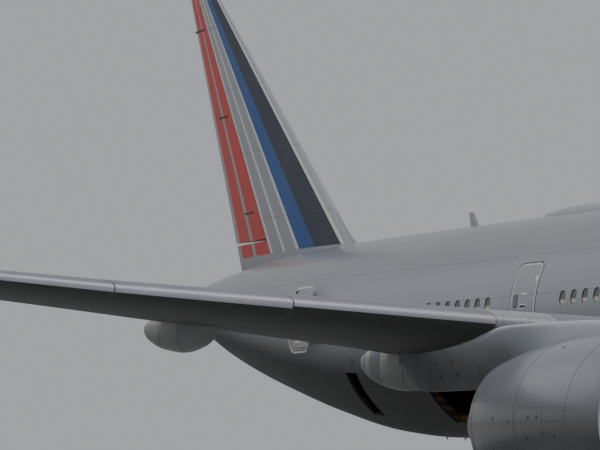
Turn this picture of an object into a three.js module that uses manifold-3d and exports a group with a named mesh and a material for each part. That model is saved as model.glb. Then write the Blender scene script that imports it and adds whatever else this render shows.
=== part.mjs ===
// A wide body airliner with two engines, parked on its gear, as a 1:2 scale model.
// Every size below is in metres of the full-size aircraft. The solids are turned into
// millimetres of the model when they are named at the end.
// Side runs to port, station runs aft from the nose, and height runs up from the ground.
import * as THREE from 'three';
import { mergeVertices } from 'three/addons/utils/BufferGeometryUtils.js';
import Module from 'manifold-3d';

const wasm = await Module();
wasm.setup();

const MODEL_SCALE = 0.5;
const MILLIMETRES = 1000 * MODEL_SCALE;
const FIT_GAP = 0.0006;         // between pieces that sit on each other
const RUNNING_GAP = 0.012;      // round pieces that move
const SURFACE_GAP = 0.018;      // round the nose of a control surface
const DOOR_GAP = 0.022;

const LENGTH = 63.73;
const AXIS = 5.8;               // height of the fuselage axis
const BODY_RADIUS = 3.1;
const SKIN = 0.12;
const BODY_SIDES = 36;

// Fuselage sections: station, top and bottom above the axis, half width.
const BODY_SECTIONS = [
  { station: 0.00, top: -0.68, bottom: -0.92, half: 0.12 },
  { station: 0.15, top: -0.30, bottom: -1.26, half: 0.50 },
  { station: 0.60, top: 0.08, bottom: -1.70, half: 0.98 },
  { station: 1.40, top: 0.58, bottom: -2.12, half: 1.52 },
  { station: 2.30, top: 1.06, bottom: -2.42, half: 1.94 },
  { station: 3.10, top: 1.66, bottom: -2.61, half: 2.22 },
  { station: 4.00, top: 2.18, bottom: -2.77, half: 2.46 },
  { station: 5.20, top: 2.58, bottom: -2.92, half: 2.70 },
  { station: 6.80, top: 2.86, bottom: -3.03, half: 2.91 },
  { station: 9.00, top: 3.06, bottom: -3.09, half: 3.06 },
  { station: 11.0, top: 3.10, bottom: -3.10, half: 3.10 },
  { station: 42.0, top: 3.10, bottom: -3.10, half: 3.10 },
  { station: 44.5, top: 3.10, bottom: -3.08, half: 3.10 },
  { station: 47.0, top: 3.10, bottom: -2.91, half: 3.06 },
  { station: 50.0, top: 3.08, bottom: -2.40, half: 2.93 },
  { station: 53.0, top: 3.00, bottom: -1.74, half: 2.62 },
  { station: 56.0, top: 2.84, bottom: -1.00, half: 2.14 },
  { station: 59.0, top: 2.58, bottom: -0.10, half: 1.48 },
  { station: 61.2, top: 2.32, bottom: 0.76, half: 0.86 },
  { station: 62.74, top: 2.10, bottom: 1.42, half: 0.30 },
];
const NOSE_JOIN = 9.0;
const AFT_JOIN = 38.9;
const TAIL_JOIN = 51.0;

// Wing to body fairing sections: station, half width, top and bottom above the axis.
const FAIRING_SECTIONS = [
  { station: 16.8, half: 1.40, top: -2.30, bottom: -3.02 },
  { station: 18.6, half: 2.75, top: -1.90, bottom: -3.34 },
  { station: 20.6, half: 3.30, top: -1.20, bottom: -3.62 },
  { station: 24.0, half: 3.55, top: -0.85, bottom: -3.78 },
  { station: 31.0, half: 3.60, top: -0.90, bottom: -3.80 },
  { station: 34.6, half: 3.45, top: -1.30, bottom: -3.64 },
  { station: 37.0, half: 2.90, top: -1.90, bottom: -3.34 },
  { station: 38.8, half: 1.50, top: -2.40, bottom: -3.00 },
];
const FAIRING_SIDES = 32;
const FAIRING_SQUARENESS = 2.8;

// Lifting surfaces: span from the centre line (or height above the axis, for the fin),
// stations of the leading and trailing edges, their offsets across the surface,
// and thickness over chord.
const WING_SECTIONS = [
  { span: 2.00, lead: 20.17, trail: 33.05, leadUp: -1.72, trailUp: -2.02, thick: 0.140 },
  { span: 9.90, lead: 25.60, trail: 33.30, leadUp: -0.84, trailUp: -1.12, thick: 0.115 },
  { span: 17.5, lead: 30.82, trail: 36.37, leadUp: -0.10, trailUp: -0.16, thick: 0.105 },
  { span: 30.0, lead: 39.40, trail: 41.42, leadUp: 1.33, trailUp: 1.27, thick: 0.095 },
  { span: 30.465, lead: 40.15, trail: 41.55, leadUp: 1.38, trailUp: 1.33, thick: 0.080 },
];
const STABILISER_SECTIONS = [
  { span: 0.20, lead: 52.85, trail: 59.76, leadUp: 0.84, trailUp: 0.84, thick: 0.100 },
  { span: 10.45, lead: 61.14, trail: 63.62, leadUp: 2.00, trailUp: 2.00, thick: 0.090 },
  { span: 10.765, lead: 61.80, trail: 63.73, leadUp: 2.04, trailUp: 2.04, thick: 0.070 },
];
const FIN_SECTIONS = [
  { span: 1.80, lead: 49.75, trail: 58.70, leadUp: 0, trailUp: 0, thick: 0.105 },
  { span: 12.35, lead: 61.15, trail: 63.33, leadUp: 0, trailUp: 0, thick: 0.095 },
  { span: 12.70, lead: 61.95, trail: 63.48, leadUp: 0, trailUp: 0, thick: 0.070 },
];
// Where along the chord each section has its points.
const CHORD_POINTS = [0.004, 0.02, 0.06, 0.13, 0.24, 0.38, 0.54, 0.72, 0.88, 1];
const TRAILING_EDGE_HALF = 0.012;

// Movable surfaces: the front line from inboard to outboard as [span, station] pairs, how far
// they reach aft, the largest turn in degrees of those that are hinged, and which of their
// two ends are cut square to the front line; the others run straight aft.
const WING_MOVABLES = {
  flap_inboard: { from: [3.70, 31.95], to: [8.94, 31.70], reach: 3.0, turn: 0, square: [false, false] },
  flaperon: { from: [9.12, 31.58], to: [10.56, 31.78], reach: 3.0, turn: 31, square: [false, true] },
  flap_outboard: { from: [10.84, 32.03], to: [22.72, 37.22], reach: 3.5, turn: 0, square: [false, true] },
  aileron: { from: [23.00, 37.52], to: [28.40, 39.86], reach: 3.0, turn: 33, square: [true, true] },
};
const ELEVATOR = { from: [2.34, 58.38], to: [10.10, 62.48], reach: 4.0, turn: 30, square: [false, true] };
const RUDDER = { from: [3.64, 56.91], to: [12.20, 62.40], reach: 5.0, turn: 27, square: [false, true] };
// Leading edge slats: span from, span to, and depth as a share of the chord.
const SLATS = {
  slat_inboard: { from: 4.70, to: 9.10, depth: 0.10 },
  slat_outboard: { from: 10.30, to: 28.90, depth: 0.13 },
};
const HINGE_PIN = 0.035;
const HINGE_PIN_REACH = 0.12;
const SURFACE_DEPTH = 2;        // more than any lifting surface is thick

const ENGINE = { side: 9.61, up: -3.10 };
// Nacelle, core and spinner outlines: station and radius.
const COWL_OUTSIDE = [
  [20.00, 1.60], [20.10, 1.70], [20.40, 1.80], [21.20, 1.88], [22.40, 1.90],
  [23.60, 1.84], [24.80, 1.68], [25.70, 1.50],
];
const COWL_INSIDE = [
  [25.66, 1.46], [24.60, 1.58], [23.20, 1.60], [21.80, 1.58], [20.90, 1.50], [20.30, 1.50], [20.06, 1.54],
];
const CORE_OUTSIDE = [
  [22.45, 0], [22.45, 0.72], [23.10, 0.86], [24.40, 0.98], [25.70, 0.93], [27.10, 0.70],
  [27.12, 0.60], [27.14, 0.46], [27.90, 0.26], [28.50, 0.06], [28.52, 0],
];
const CORE_FACE = CORE_OUTSIDE[0][0];
const SPINNER = [[21.30, 0], [21.36, 0.12], [21.62, 0.34], [21.90, 0.46], [22.36, 0.50], [22.36, 0]];
const ENGINE_SIDES = 24;
const FAN_BLADES = 18;
// Fan blade sections: radius, width, and turn away from the engine's axis.
const BLADE_SECTIONS = [
  { radius: 0.40, width: 0.40, turn: 0.60 },
  { radius: 1.00, width: 0.50, turn: 0.95 },
  { radius: 1.53, width: 0.54, turn: 1.20 },
];
const FAN_BLADE = { station: 22.08, thickness: 0.05 };
const FAN_SHAFT = { radius: 0.12, from: 22.3, reach: 0.10, endRoom: 0.02 };
const GUIDE_VANES = 10;
const GUIDE_VANE = { station: 23.3, width: 0.55, thickness: 0.07, from: 0.6, to: 1.8 };

// Pylon side view: station and height above the axis.
const PYLON_OUTLINE = [
  [21.30, -1.32], [22.60, -1.02], [24.00, -0.84], [25.55, -0.76], [26.60, -0.82], [29.60, -1.06],
  [31.40, -1.20], [31.30, -1.62], [30.15, -2.26], [27.60, -2.30], [25.40, -2.22], [23.70, -2.24], [23.70, -1.36],
];
// Its half width along the engine.
const PYLON_WIDTHS = [[21.2, 0], [22.4, 0.20], [24.0, 0.26], [29.5, 0.26], [31.5, 0.04]];
const PYLON_HALF = 0.26;

// Flap track fairings: side, front and back stations, depth below the wing, half width.
const TRACK_FAIRINGS = [
  { name: 'inboard', side: 8.60, front: 30.1, back: 35.05, depth: 0.95, half: 0.33 },
  { name: 'middle', side: 14.0, front: 31.8, back: 36.50, depth: 0.78, half: 0.30 },
  { name: 'outboard', side: 19.6, front: 34.9, back: 38.70, depth: 0.62, half: 0.26 },
];
// Their sections: share of the length, share of the depth at the top, at the bottom, and of the width.
const TRACK_SHAPE = [
  { along: 0.00, top: 0.30, bottom: 0.22, half: 0.10 },
  { along: 0.14, top: 0.40, bottom: -0.38, half: 0.60 },
  { along: 0.34, top: 0.40, bottom: -0.88, half: 0.92 },
  { along: 0.52, top: 0.40, bottom: -1.00, half: 1.00 },
  { along: 0.74, top: 0.30, bottom: -0.86, half: 0.92 },
  { along: 0.92, top: 0.12, bottom: -0.56, half: 0.62 },
  { along: 1.00, top: -0.02, bottom: -0.34, half: 0.24 },
];

const MAIN_GEAR = {
  side: 5.485, station: 31.77, axlePitch: 1.45, wheelPitch: 1.40,
  tyreRadius: 0.635, tyreHalf: 0.25, rim: 0.30, axle: 0.09, leg: 0.24, piston: 0.16,
  top: { station: 31.2, height: 4.32 }, beamRise: 0.10,
};
// Blocks about the foot of the main leg: half width, reach fore and aft, and heights from the axles.
const MAIN_BEAM = { half: 0.17, reach: 0.22, from: -0.14, to: 0.20 };
const MAIN_SADDLE = { half: 0.13, reach: 0.26, from: 0.18, to: 0.31 };
const MAIN_FORK = { half: 0.17, reach: 0.20, from: 0.31, to: 0.705 };
// Shares of the main leg's length above its foot.
const MAIN_LEG_SHARES = {
  outer: 0.42, piston: [0.16, 0.50], sideBrace: 0.62, dragBrace: 0.45, link: 0.47, doorClear: 0.3,
};
const MAIN_SIDE_BRACE = { end: [3.1, 31.0, 3.45], radius: 0.09 };
const MAIN_DRAG_BRACE = { end: [4.985, 28.2, 4.5], radius: 0.10 };
const MAIN_LINK = { aft: [0.20, 0.52], heights: [1.25, 1.72], radius: 0.06 };
const MAIN_DOOR = { side: [0.52, 0.57], aft: [-0.55, 0.75], heights: [2.25, 4.15] };
const MAIN_DOOR_ARM = { side: [0.2, 0.54], aft: 0.05, height: 3.2, radius: 0.05 };

const NOSE_GEAR = {
  station: 5.89, wheelPitch: 0.96, tyreRadius: 0.535, tyreHalf: 0.20, rim: 0.26, axle: 0.08,
  leg: 0.17, piston: 0.12, steerHeight: 1.45, collar: 0.22,
};
const NOSE_DRAG_BRACE = { height: 3.0, aft: 1.25, below: 0.05, radius: 0.07 };
const NOSE_TRUNNION = { half: 0.42, height: 4.05, radius: 0.09 };
const NOSE_AXLE_BLOCK = { half: 0.15, reach: 0.16 };
const NOSE_LINK = { ahead: [0.1, 0.42], heights: [1.35, 1.05, 0.72], radius: 0.045 };
const NOSE_WELL = { front: 4.35, back: 7.35, half: 0.52, ceiling: -1.35 };
const NOSE_WELL_DOOR = { side: 0.58, half: 0.02, front: 5.0, back: 6.6, heights: [2.05, 3.4] };
// One wheel's outline: share of the tyre's half width from its middle, and share of a radius.
const WHEEL_OUTLINE = [
  [-0.62, 'axle', 1], [-0.80, 'rim', 1], [-1, 'tyreRadius', 0.80], [-0.66, 'tyreRadius', 1],
  [0.66, 'tyreRadius', 1], [1, 'tyreRadius', 0.80], [0.80, 'rim', 1],
  [0.35, 'rim', 0.82], [0.60, 'axle', 1.5], [0.60, 'axle', 0],
];
const WHEEL_SIDES = 16;

// Lower deck doors on the starboard side: stations, angles below the horizontal of the
// upper and lower edges, thickness, how far each swings, and how far it is open.
const CARGO_DOORS = {
  cargo_door_forward: { from: 10.45, to: 13.15, upper: 22, lower: 57, thickness: 0.14, open: 0 },
  cargo_door_aft: { from: 39.50, to: 42.15, upper: 26, lower: 60, thickness: 0.14, open: 150 },
};
const DOOR_RECESS = 0.02;           // behind a cargo door's inner face
const KNUCKLE = 0.16;               // length of the hinge rod beyond either end of a door
const PAST_SKIN = 0.5;
// The bulk door opens inward: its flange overlaps the hole, and it hangs inside the wall.
const BULK_DOOR = {
  from: 45.90, to: 46.60, upper: 24.5, lower: 55, radius: 3.02, centre: 0.07, open: 62,
  flange: 0.06, flangeUpper: 1.6, flangeGap: 0.015, flangeDepth: 0.065, hingeUpper: 1.4, lug: 0.10, lugReach: 0.2,
};
const HINGE_ROD = 0.03;
const HOLD = { front: 39.1, back: 42.9, inner: 0.2, floor: -2.86, ceiling: -0.62 };
const BULK_HOLD = { front: 45.5, back: 47.0, inner: 0.9, floor: -2.7, ceiling: -0.55 };
const DOORWAY = { front: 48.87, back: 50.02, floor: -0.42, ceiling: 1.44, depth: 1.3 };
const OPEN_DOOR = { forward: 1.0, out: 0.42, thickness: 0.15, margin: 0.03 };
// The arm that carries it: points as side, distance aft of the doorway's front, and height.
const DOOR_ARM = { points: [[-2.7, 0.12], [-3.32, 0.02], [-3.38, -0.3]], up: 0.5, radius: 0.045 };
const DOOR_ARM_SEAT = { side: [-2.9, -2.6], depth: 0.2, half: 0.06 };

const CROWN_RADOME = {
  station: 37.6, length: 4.6, half: 0.72, rise: 0.22, sunk: 0.1, sides: 16, bluntEnd: 0.04,
};
const CROWN_RADOME_STEPS = [-1, -0.85, -0.5, 0, 0.5, 0.85, 1];

const at = (side, station, up) => [side, station, up];

function faceOut(positions, triangles) {
  let volume = 0;
  for (let i = 0; i < triangles.length; i += 3) {
    const [a, b, c] = [0, 1, 2].map((k) => new THREE.Vector3().fromArray(positions, 3 * triangles[i + k]));
    volume += a.dot(b.cross(c));
  }
  if (volume < 0) {
    for (let i = 0; i < triangles.length; i += 3) {
      [triangles[i + 1], triangles[i + 2]] = [triangles[i + 2], triangles[i + 1]];
    }
  }
  return new wasm.Manifold(new wasm.Mesh({
    numProp: 3, vertProperties: new Float32Array(positions), triVerts: new Uint32Array(triangles),
  }));
}

// A closed solid from rings with equal numbers of points, with a flat fan at either end.
// The two sides of the aircraft are split into triangles as mirror images.
function loft(rings) {
  const sides = rings[0].length;
  const positions = rings.flat(2);
  const triangles = [];
  for (let ring = 0; ring + 1 < rings.length; ring += 1) {
    for (let i = 0; i < sides; i += 1) {
      const j = (i + 1) % sides;
      const [a, b, c, d] = [ring * sides + i, ring * sides + j, (ring + 1) * sides + j, (ring + 1) * sides + i];
      const starboard = positions[3 * a] + positions[3 * b] < 0;
      triangles.push(...(starboard ? [a, b, d, b, c, d] : [a, b, c, a, c, d]));
    }
  }
  for (const [ring, turned] of [[0, true], [rings.length - 1, false]]) {
    const hub = positions.length / 3;
    const points = rings[ring];
    positions.push(...[0, 1, 2].map((axis) => points.reduce((sum, p) => sum + p[axis], 0) / sides));
    for (let i = 0; i < sides; i += 1) {
      const [a, b] = [ring * sides + i, ring * sides + ((i + 1) % sides)];
      triangles.push(...(turned ? [hub, b, a] : [hub, a, b]));
    }
  }
  return faceOut(positions, triangles);
}

function fromGeometry(geometry) {
  const bare = geometry.clone();
  bare.deleteAttribute('normal');
  bare.deleteAttribute('uv');
  const merged = mergeVertices(bare, 1e-6);
  return faceOut([...merged.attributes.position.array], [...merged.index.array]);
}

// A flat outline pulled straight through: plan outlines are [side, station], side views [station, up].
function fromPlan(outline, low, high, frame = new THREE.Matrix4()) {
  const shape = new THREE.Shape(outline.map(([side, station]) => new THREE.Vector2(side, station)));
  const geometry = new THREE.ExtrudeGeometry(shape, { depth: high - low, bevelEnabled: false });
  return fromGeometry(geometry.translate(0, 0, low).applyMatrix4(frame));
}

function fromSide(outline, left, right) {
  const shape = new THREE.Shape(outline.map(([station, up]) => new THREE.Vector2(station, up)));
  const geometry = new THREE.ExtrudeGeometry(shape, { depth: right - left, bevelEnabled: false });
  const turn = new THREE.Matrix4().makeBasis(
    new THREE.Vector3(0, 1, 0), new THREE.Vector3(0, 0, 1), new THREE.Vector3(1, 0, 0));
  return fromGeometry(geometry.applyMatrix4(turn).translate(left, 0, 0));
}

function block(low, high) {
  const size = high.map((value, axis) => value - low[axis]);
  const middle = high.map((value, axis) => (value + low[axis]) / 2);
  return fromGeometry(new THREE.BoxGeometry(...size).translate(...middle));
}

// A round bar between two points, with a radius at either end. Its sides can be turned by
// half a side, so that a bore's flats face the corners of the bar in it.
function bar(start, end, startRadius, endRadius = startRadius, sides = 12, halfTurn = false) {
  const [a, b] = [new THREE.Vector3(...start), new THREE.Vector3(...end)];
  const along = b.clone().sub(a);
  const geometry = new THREE.CylinderGeometry(endRadius, startRadius, along.length(), sides);
  const turn = new THREE.Quaternion().setFromUnitVectors(new THREE.Vector3(0, 1, 0), along.clone().normalize());
  if (halfTurn) geometry.rotateY(Math.PI / sides);
  geometry.applyQuaternion(turn).translate(...a.add(b).multiplyScalar(0.5).toArray());
  return fromGeometry(geometry);
}

// A bore that lets a bar with this radius turn in it.
const bore = (radius, sides = 12) => (radius + FIT_GAP * 1.4) / Math.cos(Math.PI / sides);

// A turned solid about a line that runs aft; the outline is [station, radius].
function turned(outline, sides, closed = false) {
  const points = outline.map(([station, radius]) => new THREE.Vector2(radius, station));
  if (closed) points.push(points[0].clone());
  return fromGeometry(new THREE.LatheGeometry(points, sides));
}

const joined = (solids) => solids.slice(1).reduce((whole, solid) => whole.add(solid), solids[0]);
const cut = (solid, tools) => tools.reduce((rest, tool) => rest.subtract(tool), solid);
const mirrored = (solid) => solid.mirror([1, 0, 0]);

function between(rows, key, value, place) {
  const above = rows.findIndex((next) => next[place] > value);
  const row = above < 0 ? rows.length - 2 : Math.max(0, above - 1);
  const share = (value - rows[row][place]) / (rows[row + 1][place] - rows[row][place]);
  return rows[row][key] + share * (rows[row + 1][key] - rows[row][key]);
}

function bodyRing({ station, top, bottom, half }, grow, sides, squareness = 2) {
  const middle = AXIS + (top + bottom) / 2;
  const rise = (top - bottom) / 2 + grow;
  return Array.from({ length: sides }, (_, i) => {
    const angle = (2 * Math.PI * i) / sides;
    const [c, s] = [Math.cos(angle), Math.sin(angle)];
    const round = (value) => Math.sign(value) * Math.abs(value) ** (2 / squareness);
    return at((half + grow) * round(c), station, middle + rise * round(s));
  });
}

const bodySection = (station) => ({
  station,
  top: between(BODY_SECTIONS, 'top', station, 'station'),
  bottom: between(BODY_SECTIONS, 'bottom', station, 'station'),
  half: between(BODY_SECTIONS, 'half', station, 'station'),
});

// The fuselage between two stations, thicker by grow all round.
function body(from, to, grow = 0) {
  const inside = BODY_SECTIONS.filter(({ station }) => station > from + 1e-6 && station < to - 1e-6);
  const rows = [bodySection(from), ...inside, bodySection(to)];
  return loft(rows.map((row) => bodyRing(row, grow, BODY_SIDES)));
}

const thicknessAt = (share) => 5 * (0.2969 * Math.sqrt(share) - 0.126 * share - 0.3516 * share ** 2
  + 0.2843 * share ** 3 - 0.1036 * share ** 4);

function liftingRing({ span, lead, trail, leadUp, trailUp, thick }, grow) {
  const chord = trail - lead;
  const side = (share, sign) => {
    const half = Math.max(thicknessAt(share) * thick * chord, TRAILING_EDGE_HALF) + grow;
    const stretch = share < 0.5 ? -grow : grow;
    return at(span, lead + share * chord + stretch, AXIS + leadUp + share * (trailUp - leadUp) + sign * half);
  };
  const face = (sign) => CHORD_POINTS.map((share) => side(share, sign));
  return [...face(1), ...face(-1).reverse()];
}

const lifting = (rows, grow = 0) => loft(rows.map((row) => liftingRing(row, grow)));

// The middle height and half thickness of a lifting surface at a span and station.
function depthAt(rows, span, station) {
  const value = (key) => between(rows, key, span, 'span');
  const chord = value('trail') - value('lead');
  const share = (station - value('lead')) / chord;
  const up = AXIS + value('leadUp') + share * (value('trailUp') - value('leadUp'));
  return { up, half: thicknessAt(share) * value('thick') * chord };
}

// Cuts a flap or control surface out of a lifting surface. A hinged one has a round nose
// about its hinge line, and a pin at either end of it. An end that runs straight aft leaves
// room for its corner, which moves towards the neighbour as the surface turns.
function movable(rows, { from, to, reach, turn, square }) {
  const gap = turn ? SURFACE_GAP : RUNNING_GAP / 2;
  const ends = [from, to].map(([span, station]) => {
    const { up, half } = depthAt(rows, Math.min(span, rows.at(-1).span), station);
    return { point: new THREE.Vector3(span, station, up), half };
  });
  const line = ends[1].point.clone().sub(ends[0].point);
  const length = line.length();
  line.normalize();
  const aft = new THREE.Vector3(-line.y, line.x, 0).normalize();
  const frame = new THREE.Matrix4().makeBasis(line, aft, line.clone().cross(aft)).setPosition(ends[0].point);
  const slants = square.map((isSquare) => (isSquare ? 0 : line.y / aft.y));
  const lift = Math.sin(THREE.MathUtils.degToRad(turn));
  const corner = slants.map((slant, i) => Math.abs(slant) * ends[i].half * lift);
  const outline = (grow) => {
    const [inner, outer] = corner.map((extra) => (grow ? grow + extra : 0));
    return [
      [-inner - slants[0] * grow, -grow], [length + outer - slants[1] * grow, -grow],
      [length + outer + slants[1] * reach, reach], [-inner + slants[0] * reach, reach],
    ];
  };
  const beyond = (i, distance) => (
    ends[i].point.clone().addScaledVector(line, (i ? 1 : -1) * distance).toArray());
  const nose = (grow) => bar(beyond(0, grow), beyond(1, grow), ends[0].half + grow, ends[1].half + grow, 18);
  const pin = (radius, grow) => joined([0, 1].map((i) => (
    bar(beyond(i, -HINGE_PIN_REACH), beyond(i, HINGE_PIN_REACH + grow), radius, radius, 10))));
  let piece = fromPlan(outline(0), -SURFACE_DEPTH, SURFACE_DEPTH, frame);
  let pocket = fromPlan(outline(gap), -SURFACE_DEPTH, SURFACE_DEPTH, frame);
  if (turn) {
    piece = piece.add(nose(0));
    pocket = pocket.add(nose(gap)).add(pin(bore(HINGE_PIN, 10), FIT_GAP));
  }
  return { piece, pocket, pin: turn ? pin(HINGE_PIN, 0) : null };
}

const pieces = new Map();
const MATERIALS = {
  paint: { color: 0xb9bdc2, roughness: 0.35, metalness: 0.3 },
  finPaint: { color: 0xb8bcc4, roughness: 0.4, metalness: 0.2 },
  underside: { color: 0x6d6f70, roughness: 0.5, metalness: 0.2 },
  bareMetal: { color: 0xc9cbcd, roughness: 0.3, metalness: 0.9 },
  steel: { color: 0x8f9294, roughness: 0.35, metalness: 0.8 },
  hotMetal: { color: 0x6d655c, roughness: 0.45, metalness: 0.9 },
  fanBlade: { color: 0x2c2d30, roughness: 0.35, metalness: 0.6 },
  tyre: { color: 0x17181a, roughness: 0.9, metalness: 0 },
  radome: { color: 0xc4c7ca, roughness: 0.5, metalness: 0 },
};

function piece(name, solid, material) {
  pieces.set(name, { solid, material });
  return solid;
}

function pair(name, leftSolid, material) {
  piece(`${name}_left`, leftSolid, material);
  piece(`${name}_right`, mirrored(leftSolid), material);
}

// Wings, and what is cut out of them.
function buildWings() {
  const bodyCut = body(10, 45, FIT_GAP).add(fairingLoft(FIT_GAP));
  const whole = lifting(WING_SECTIONS).subtract(bodyCut);
  let wing = whole;
  for (const [name, spec] of Object.entries(WING_MOVABLES)) {
    const { piece: tool, pocket, pin } = movable(WING_SECTIONS, spec);
    const flap = whole.intersect(tool);
    pair(name, pin ? flap.add(pin) : flap, 'paint');
    wing = wing.subtract(pocket);
  }
  for (const [name, { from, to, depth }] of Object.entries(SLATS)) {
    const backLine = (span) => {
      const [lead, trail] = ['lead', 'trail'].map((key) => between(WING_SECTIONS, key, span, 'span'));
      return lead + depth * (trail - lead);
    };
    const rows = WING_SECTIONS.map(({ span }) => span).filter((span) => span > from && span < to);
    const outline = (grow) => [
      [from - grow, 10], [to + grow, 10], [to + grow, backLine(to) + grow],
      ...rows.slice().reverse().map((span) => [span, backLine(span) + grow]),
      [from - grow, backLine(from) + grow],
    ];
    pair(name, whole.intersect(fromPlan(outline(0), 0, 20)), 'bareMetal');
    wing = wing.subtract(fromPlan(outline(FIT_GAP * 4), 0, 20));
  }
  pair('wing', wing, 'underside');
  return lifting(WING_SECTIONS, FIT_GAP);
}

function fairingLoft(grow) {
  return loft(FAIRING_SECTIONS.map((row) => bodyRing(row, grow, FAIRING_SIDES, FAIRING_SQUARENESS)));
}

function trackFairing({ side, front, back, depth, half }, wingCut) {
  const length = back - front;
  const base = depthAt(WING_SECTIONS, side, (front + back) / 2 - 0.1 * length).up;
  const rings = TRACK_SHAPE.map((row) => {
    const station = front + row.along * length;
    const [top, bottom, width] = [base + depth * row.top, base + depth * row.bottom, half * row.half];
    const corner = Math.min(width * 0.8, (top - bottom) * 0.4);
    return [
      at(side - width, station, top), at(side + width, station, top),
      at(side + width, station, bottom + corner), at(side + width * 0.72, station, bottom + corner * 0.3),
      at(side, station, bottom),
      at(side - width * 0.72, station, bottom + corner * 0.3), at(side - width, station, bottom + corner),
    ];
  });
  return loft(rings).subtract(wingCut);
}

function cowlRing(grow) {
  const outside = COWL_OUTSIDE.map(([station, radius]) => [station, radius + grow]);
  const inside = COWL_INSIDE.map(([station, radius]) => [station, radius - grow]);
  outside.at(-1)[0] += grow;
  inside[0][0] += grow;
  outside[0][0] -= grow;
  return turned([...outside, ...inside], ENGINE_SIDES, true);
}

function fanWheel() {
  const blades = Array.from({ length: FAN_BLADES }, (_, i) => {
    const rings = BLADE_SECTIONS.map(({ radius, width, turn }) => {
      const [c, s] = [Math.cos(turn), Math.sin(turn)];
      return [[-1, 0], [0, -1], [1, 0], [0, 1]].map(([u, v]) => {
        const [chord, flat] = [(u * width) / 2, (v * FAN_BLADE.thickness) / 2];
        return at(chord * s + flat * c, FAN_BLADE.station + chord * c - flat * s, radius);
      });
    });
    return loft(rings).rotate([0, (360 * i) / FAN_BLADES, 0]);
  });
  const shaft = bar([0, FAN_SHAFT.from, 0], [0, CORE_FACE + FAN_SHAFT.reach, 0], FAN_SHAFT.radius);
  return joined([turned(SPINNER, ENGINE_SIDES), shaft, ...blades]);
}

function coreBody() {
  const shell = turned(CORE_OUTSIDE, ENGINE_SIDES);
  const shaftBore = bore(FAN_SHAFT.radius);
  const shaftHole = bar([0, FAN_SHAFT.from, 0], [0, CORE_FACE + FAN_SHAFT.reach + FAN_SHAFT.endRoom, 0],
    shaftBore, shaftBore, 12, true);
  const vanes = Array.from({ length: GUIDE_VANES }, (_, i) => block(
    [-GUIDE_VANE.thickness / 2, GUIDE_VANE.station - GUIDE_VANE.width / 2, GUIDE_VANE.from],
    [GUIDE_VANE.thickness / 2, GUIDE_VANE.station + GUIDE_VANE.width / 2, GUIDE_VANE.to],
  ).rotate([0, (360 * (i + 0.5)) / GUIDE_VANES, 0]));
  const [cowlFront, cowlBack] = [COWL_OUTSIDE[0][0], COWL_OUTSIDE.at(-1)[0]];
  const insideWall = turned([
    [cowlFront, 0], ...COWL_INSIDE.slice().reverse().map(([station, radius]) => [station, radius - FIT_GAP]),
    [cowlBack, 0]], ENGINE_SIDES);
  return joined([shell, ...vanes.map((vane) => vane.intersect(insideWall))]).subtract(shaftHole);
}

function buildEngines(wingCut) {
  const place = [ENGINE.side, 0, AXIS + ENGINE.up];
  const cowl = cowlRing(0).translate(place);
  const core = coreBody().translate(place);
  const grownOutline = CORE_OUTSIDE.map(([station, radius], i) => [
    station + (i ? FIT_GAP : -FIT_GAP), radius ? radius + FIT_GAP : 0]);
  const grownCore = core.add(turned(grownOutline, ENGINE_SIDES).translate(place));
  const slab = fromSide(PYLON_OUTLINE.map(([station, up]) => [station, AXIS + up]),
    ENGINE.side - PYLON_HALF, ENGINE.side + PYLON_HALF);
  const edge = (sign) => PYLON_WIDTHS.slice(1).map(([station, half]) => [ENGINE.side + sign * half, station]);
  const plan = fromPlan([[ENGINE.side, PYLON_WIDTHS[0][0]], ...edge(1), ...edge(-1).reverse()], 0, AXIS);
  const pylon = cut(slab.intersect(plan), [wingCut, cowlRing(FIT_GAP).translate(place), grownCore]);
  pair('nacelle', cowl, 'paint');
  pair('engine_core', core, 'hotMetal');
  pair('pylon', pylon, 'paint');
  for (const [name, side] of [['fan_left', ENGINE.side], ['fan_right', -ENGINE.side]]) {
    piece(name, fanWheel().translate([side, 0, AXIS + ENGINE.up]), 'fanBlade');
  }
}

// Landing gear.
function wheelPair(gear) {
  const side = (sign) => WHEEL_OUTLINE.map(([share, size, part]) => [
    sign * (gear.wheelPitch / 2 + share * gear.tyreHalf), gear[size] * part]);
  const outline = [...side(-1).reverse(), ...side(1)];
  return turned(outline, WHEEL_SIDES).rotate([0, 0, -90]);
}

function axleBore({ axle, tyreRadius, wheelPitch }, side, station) {
  const radius = bore(axle, WHEEL_SIDES);
  return bar([side - wheelPitch, station, tyreRadius], [side + wheelPitch, station, tyreRadius],
    radius, radius, WHEEL_SIDES, true);
}

// A block about the middle of a gear, with its heights measured from the axles.
function gearBlock({ side, station, tyreRadius }, { half, reach, from, to }, stretch = 0) {
  return block([side - half, station - reach - stretch, tyreRadius + from],
    [side + half, station + reach + stretch, tyreRadius + to]);
}

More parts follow.
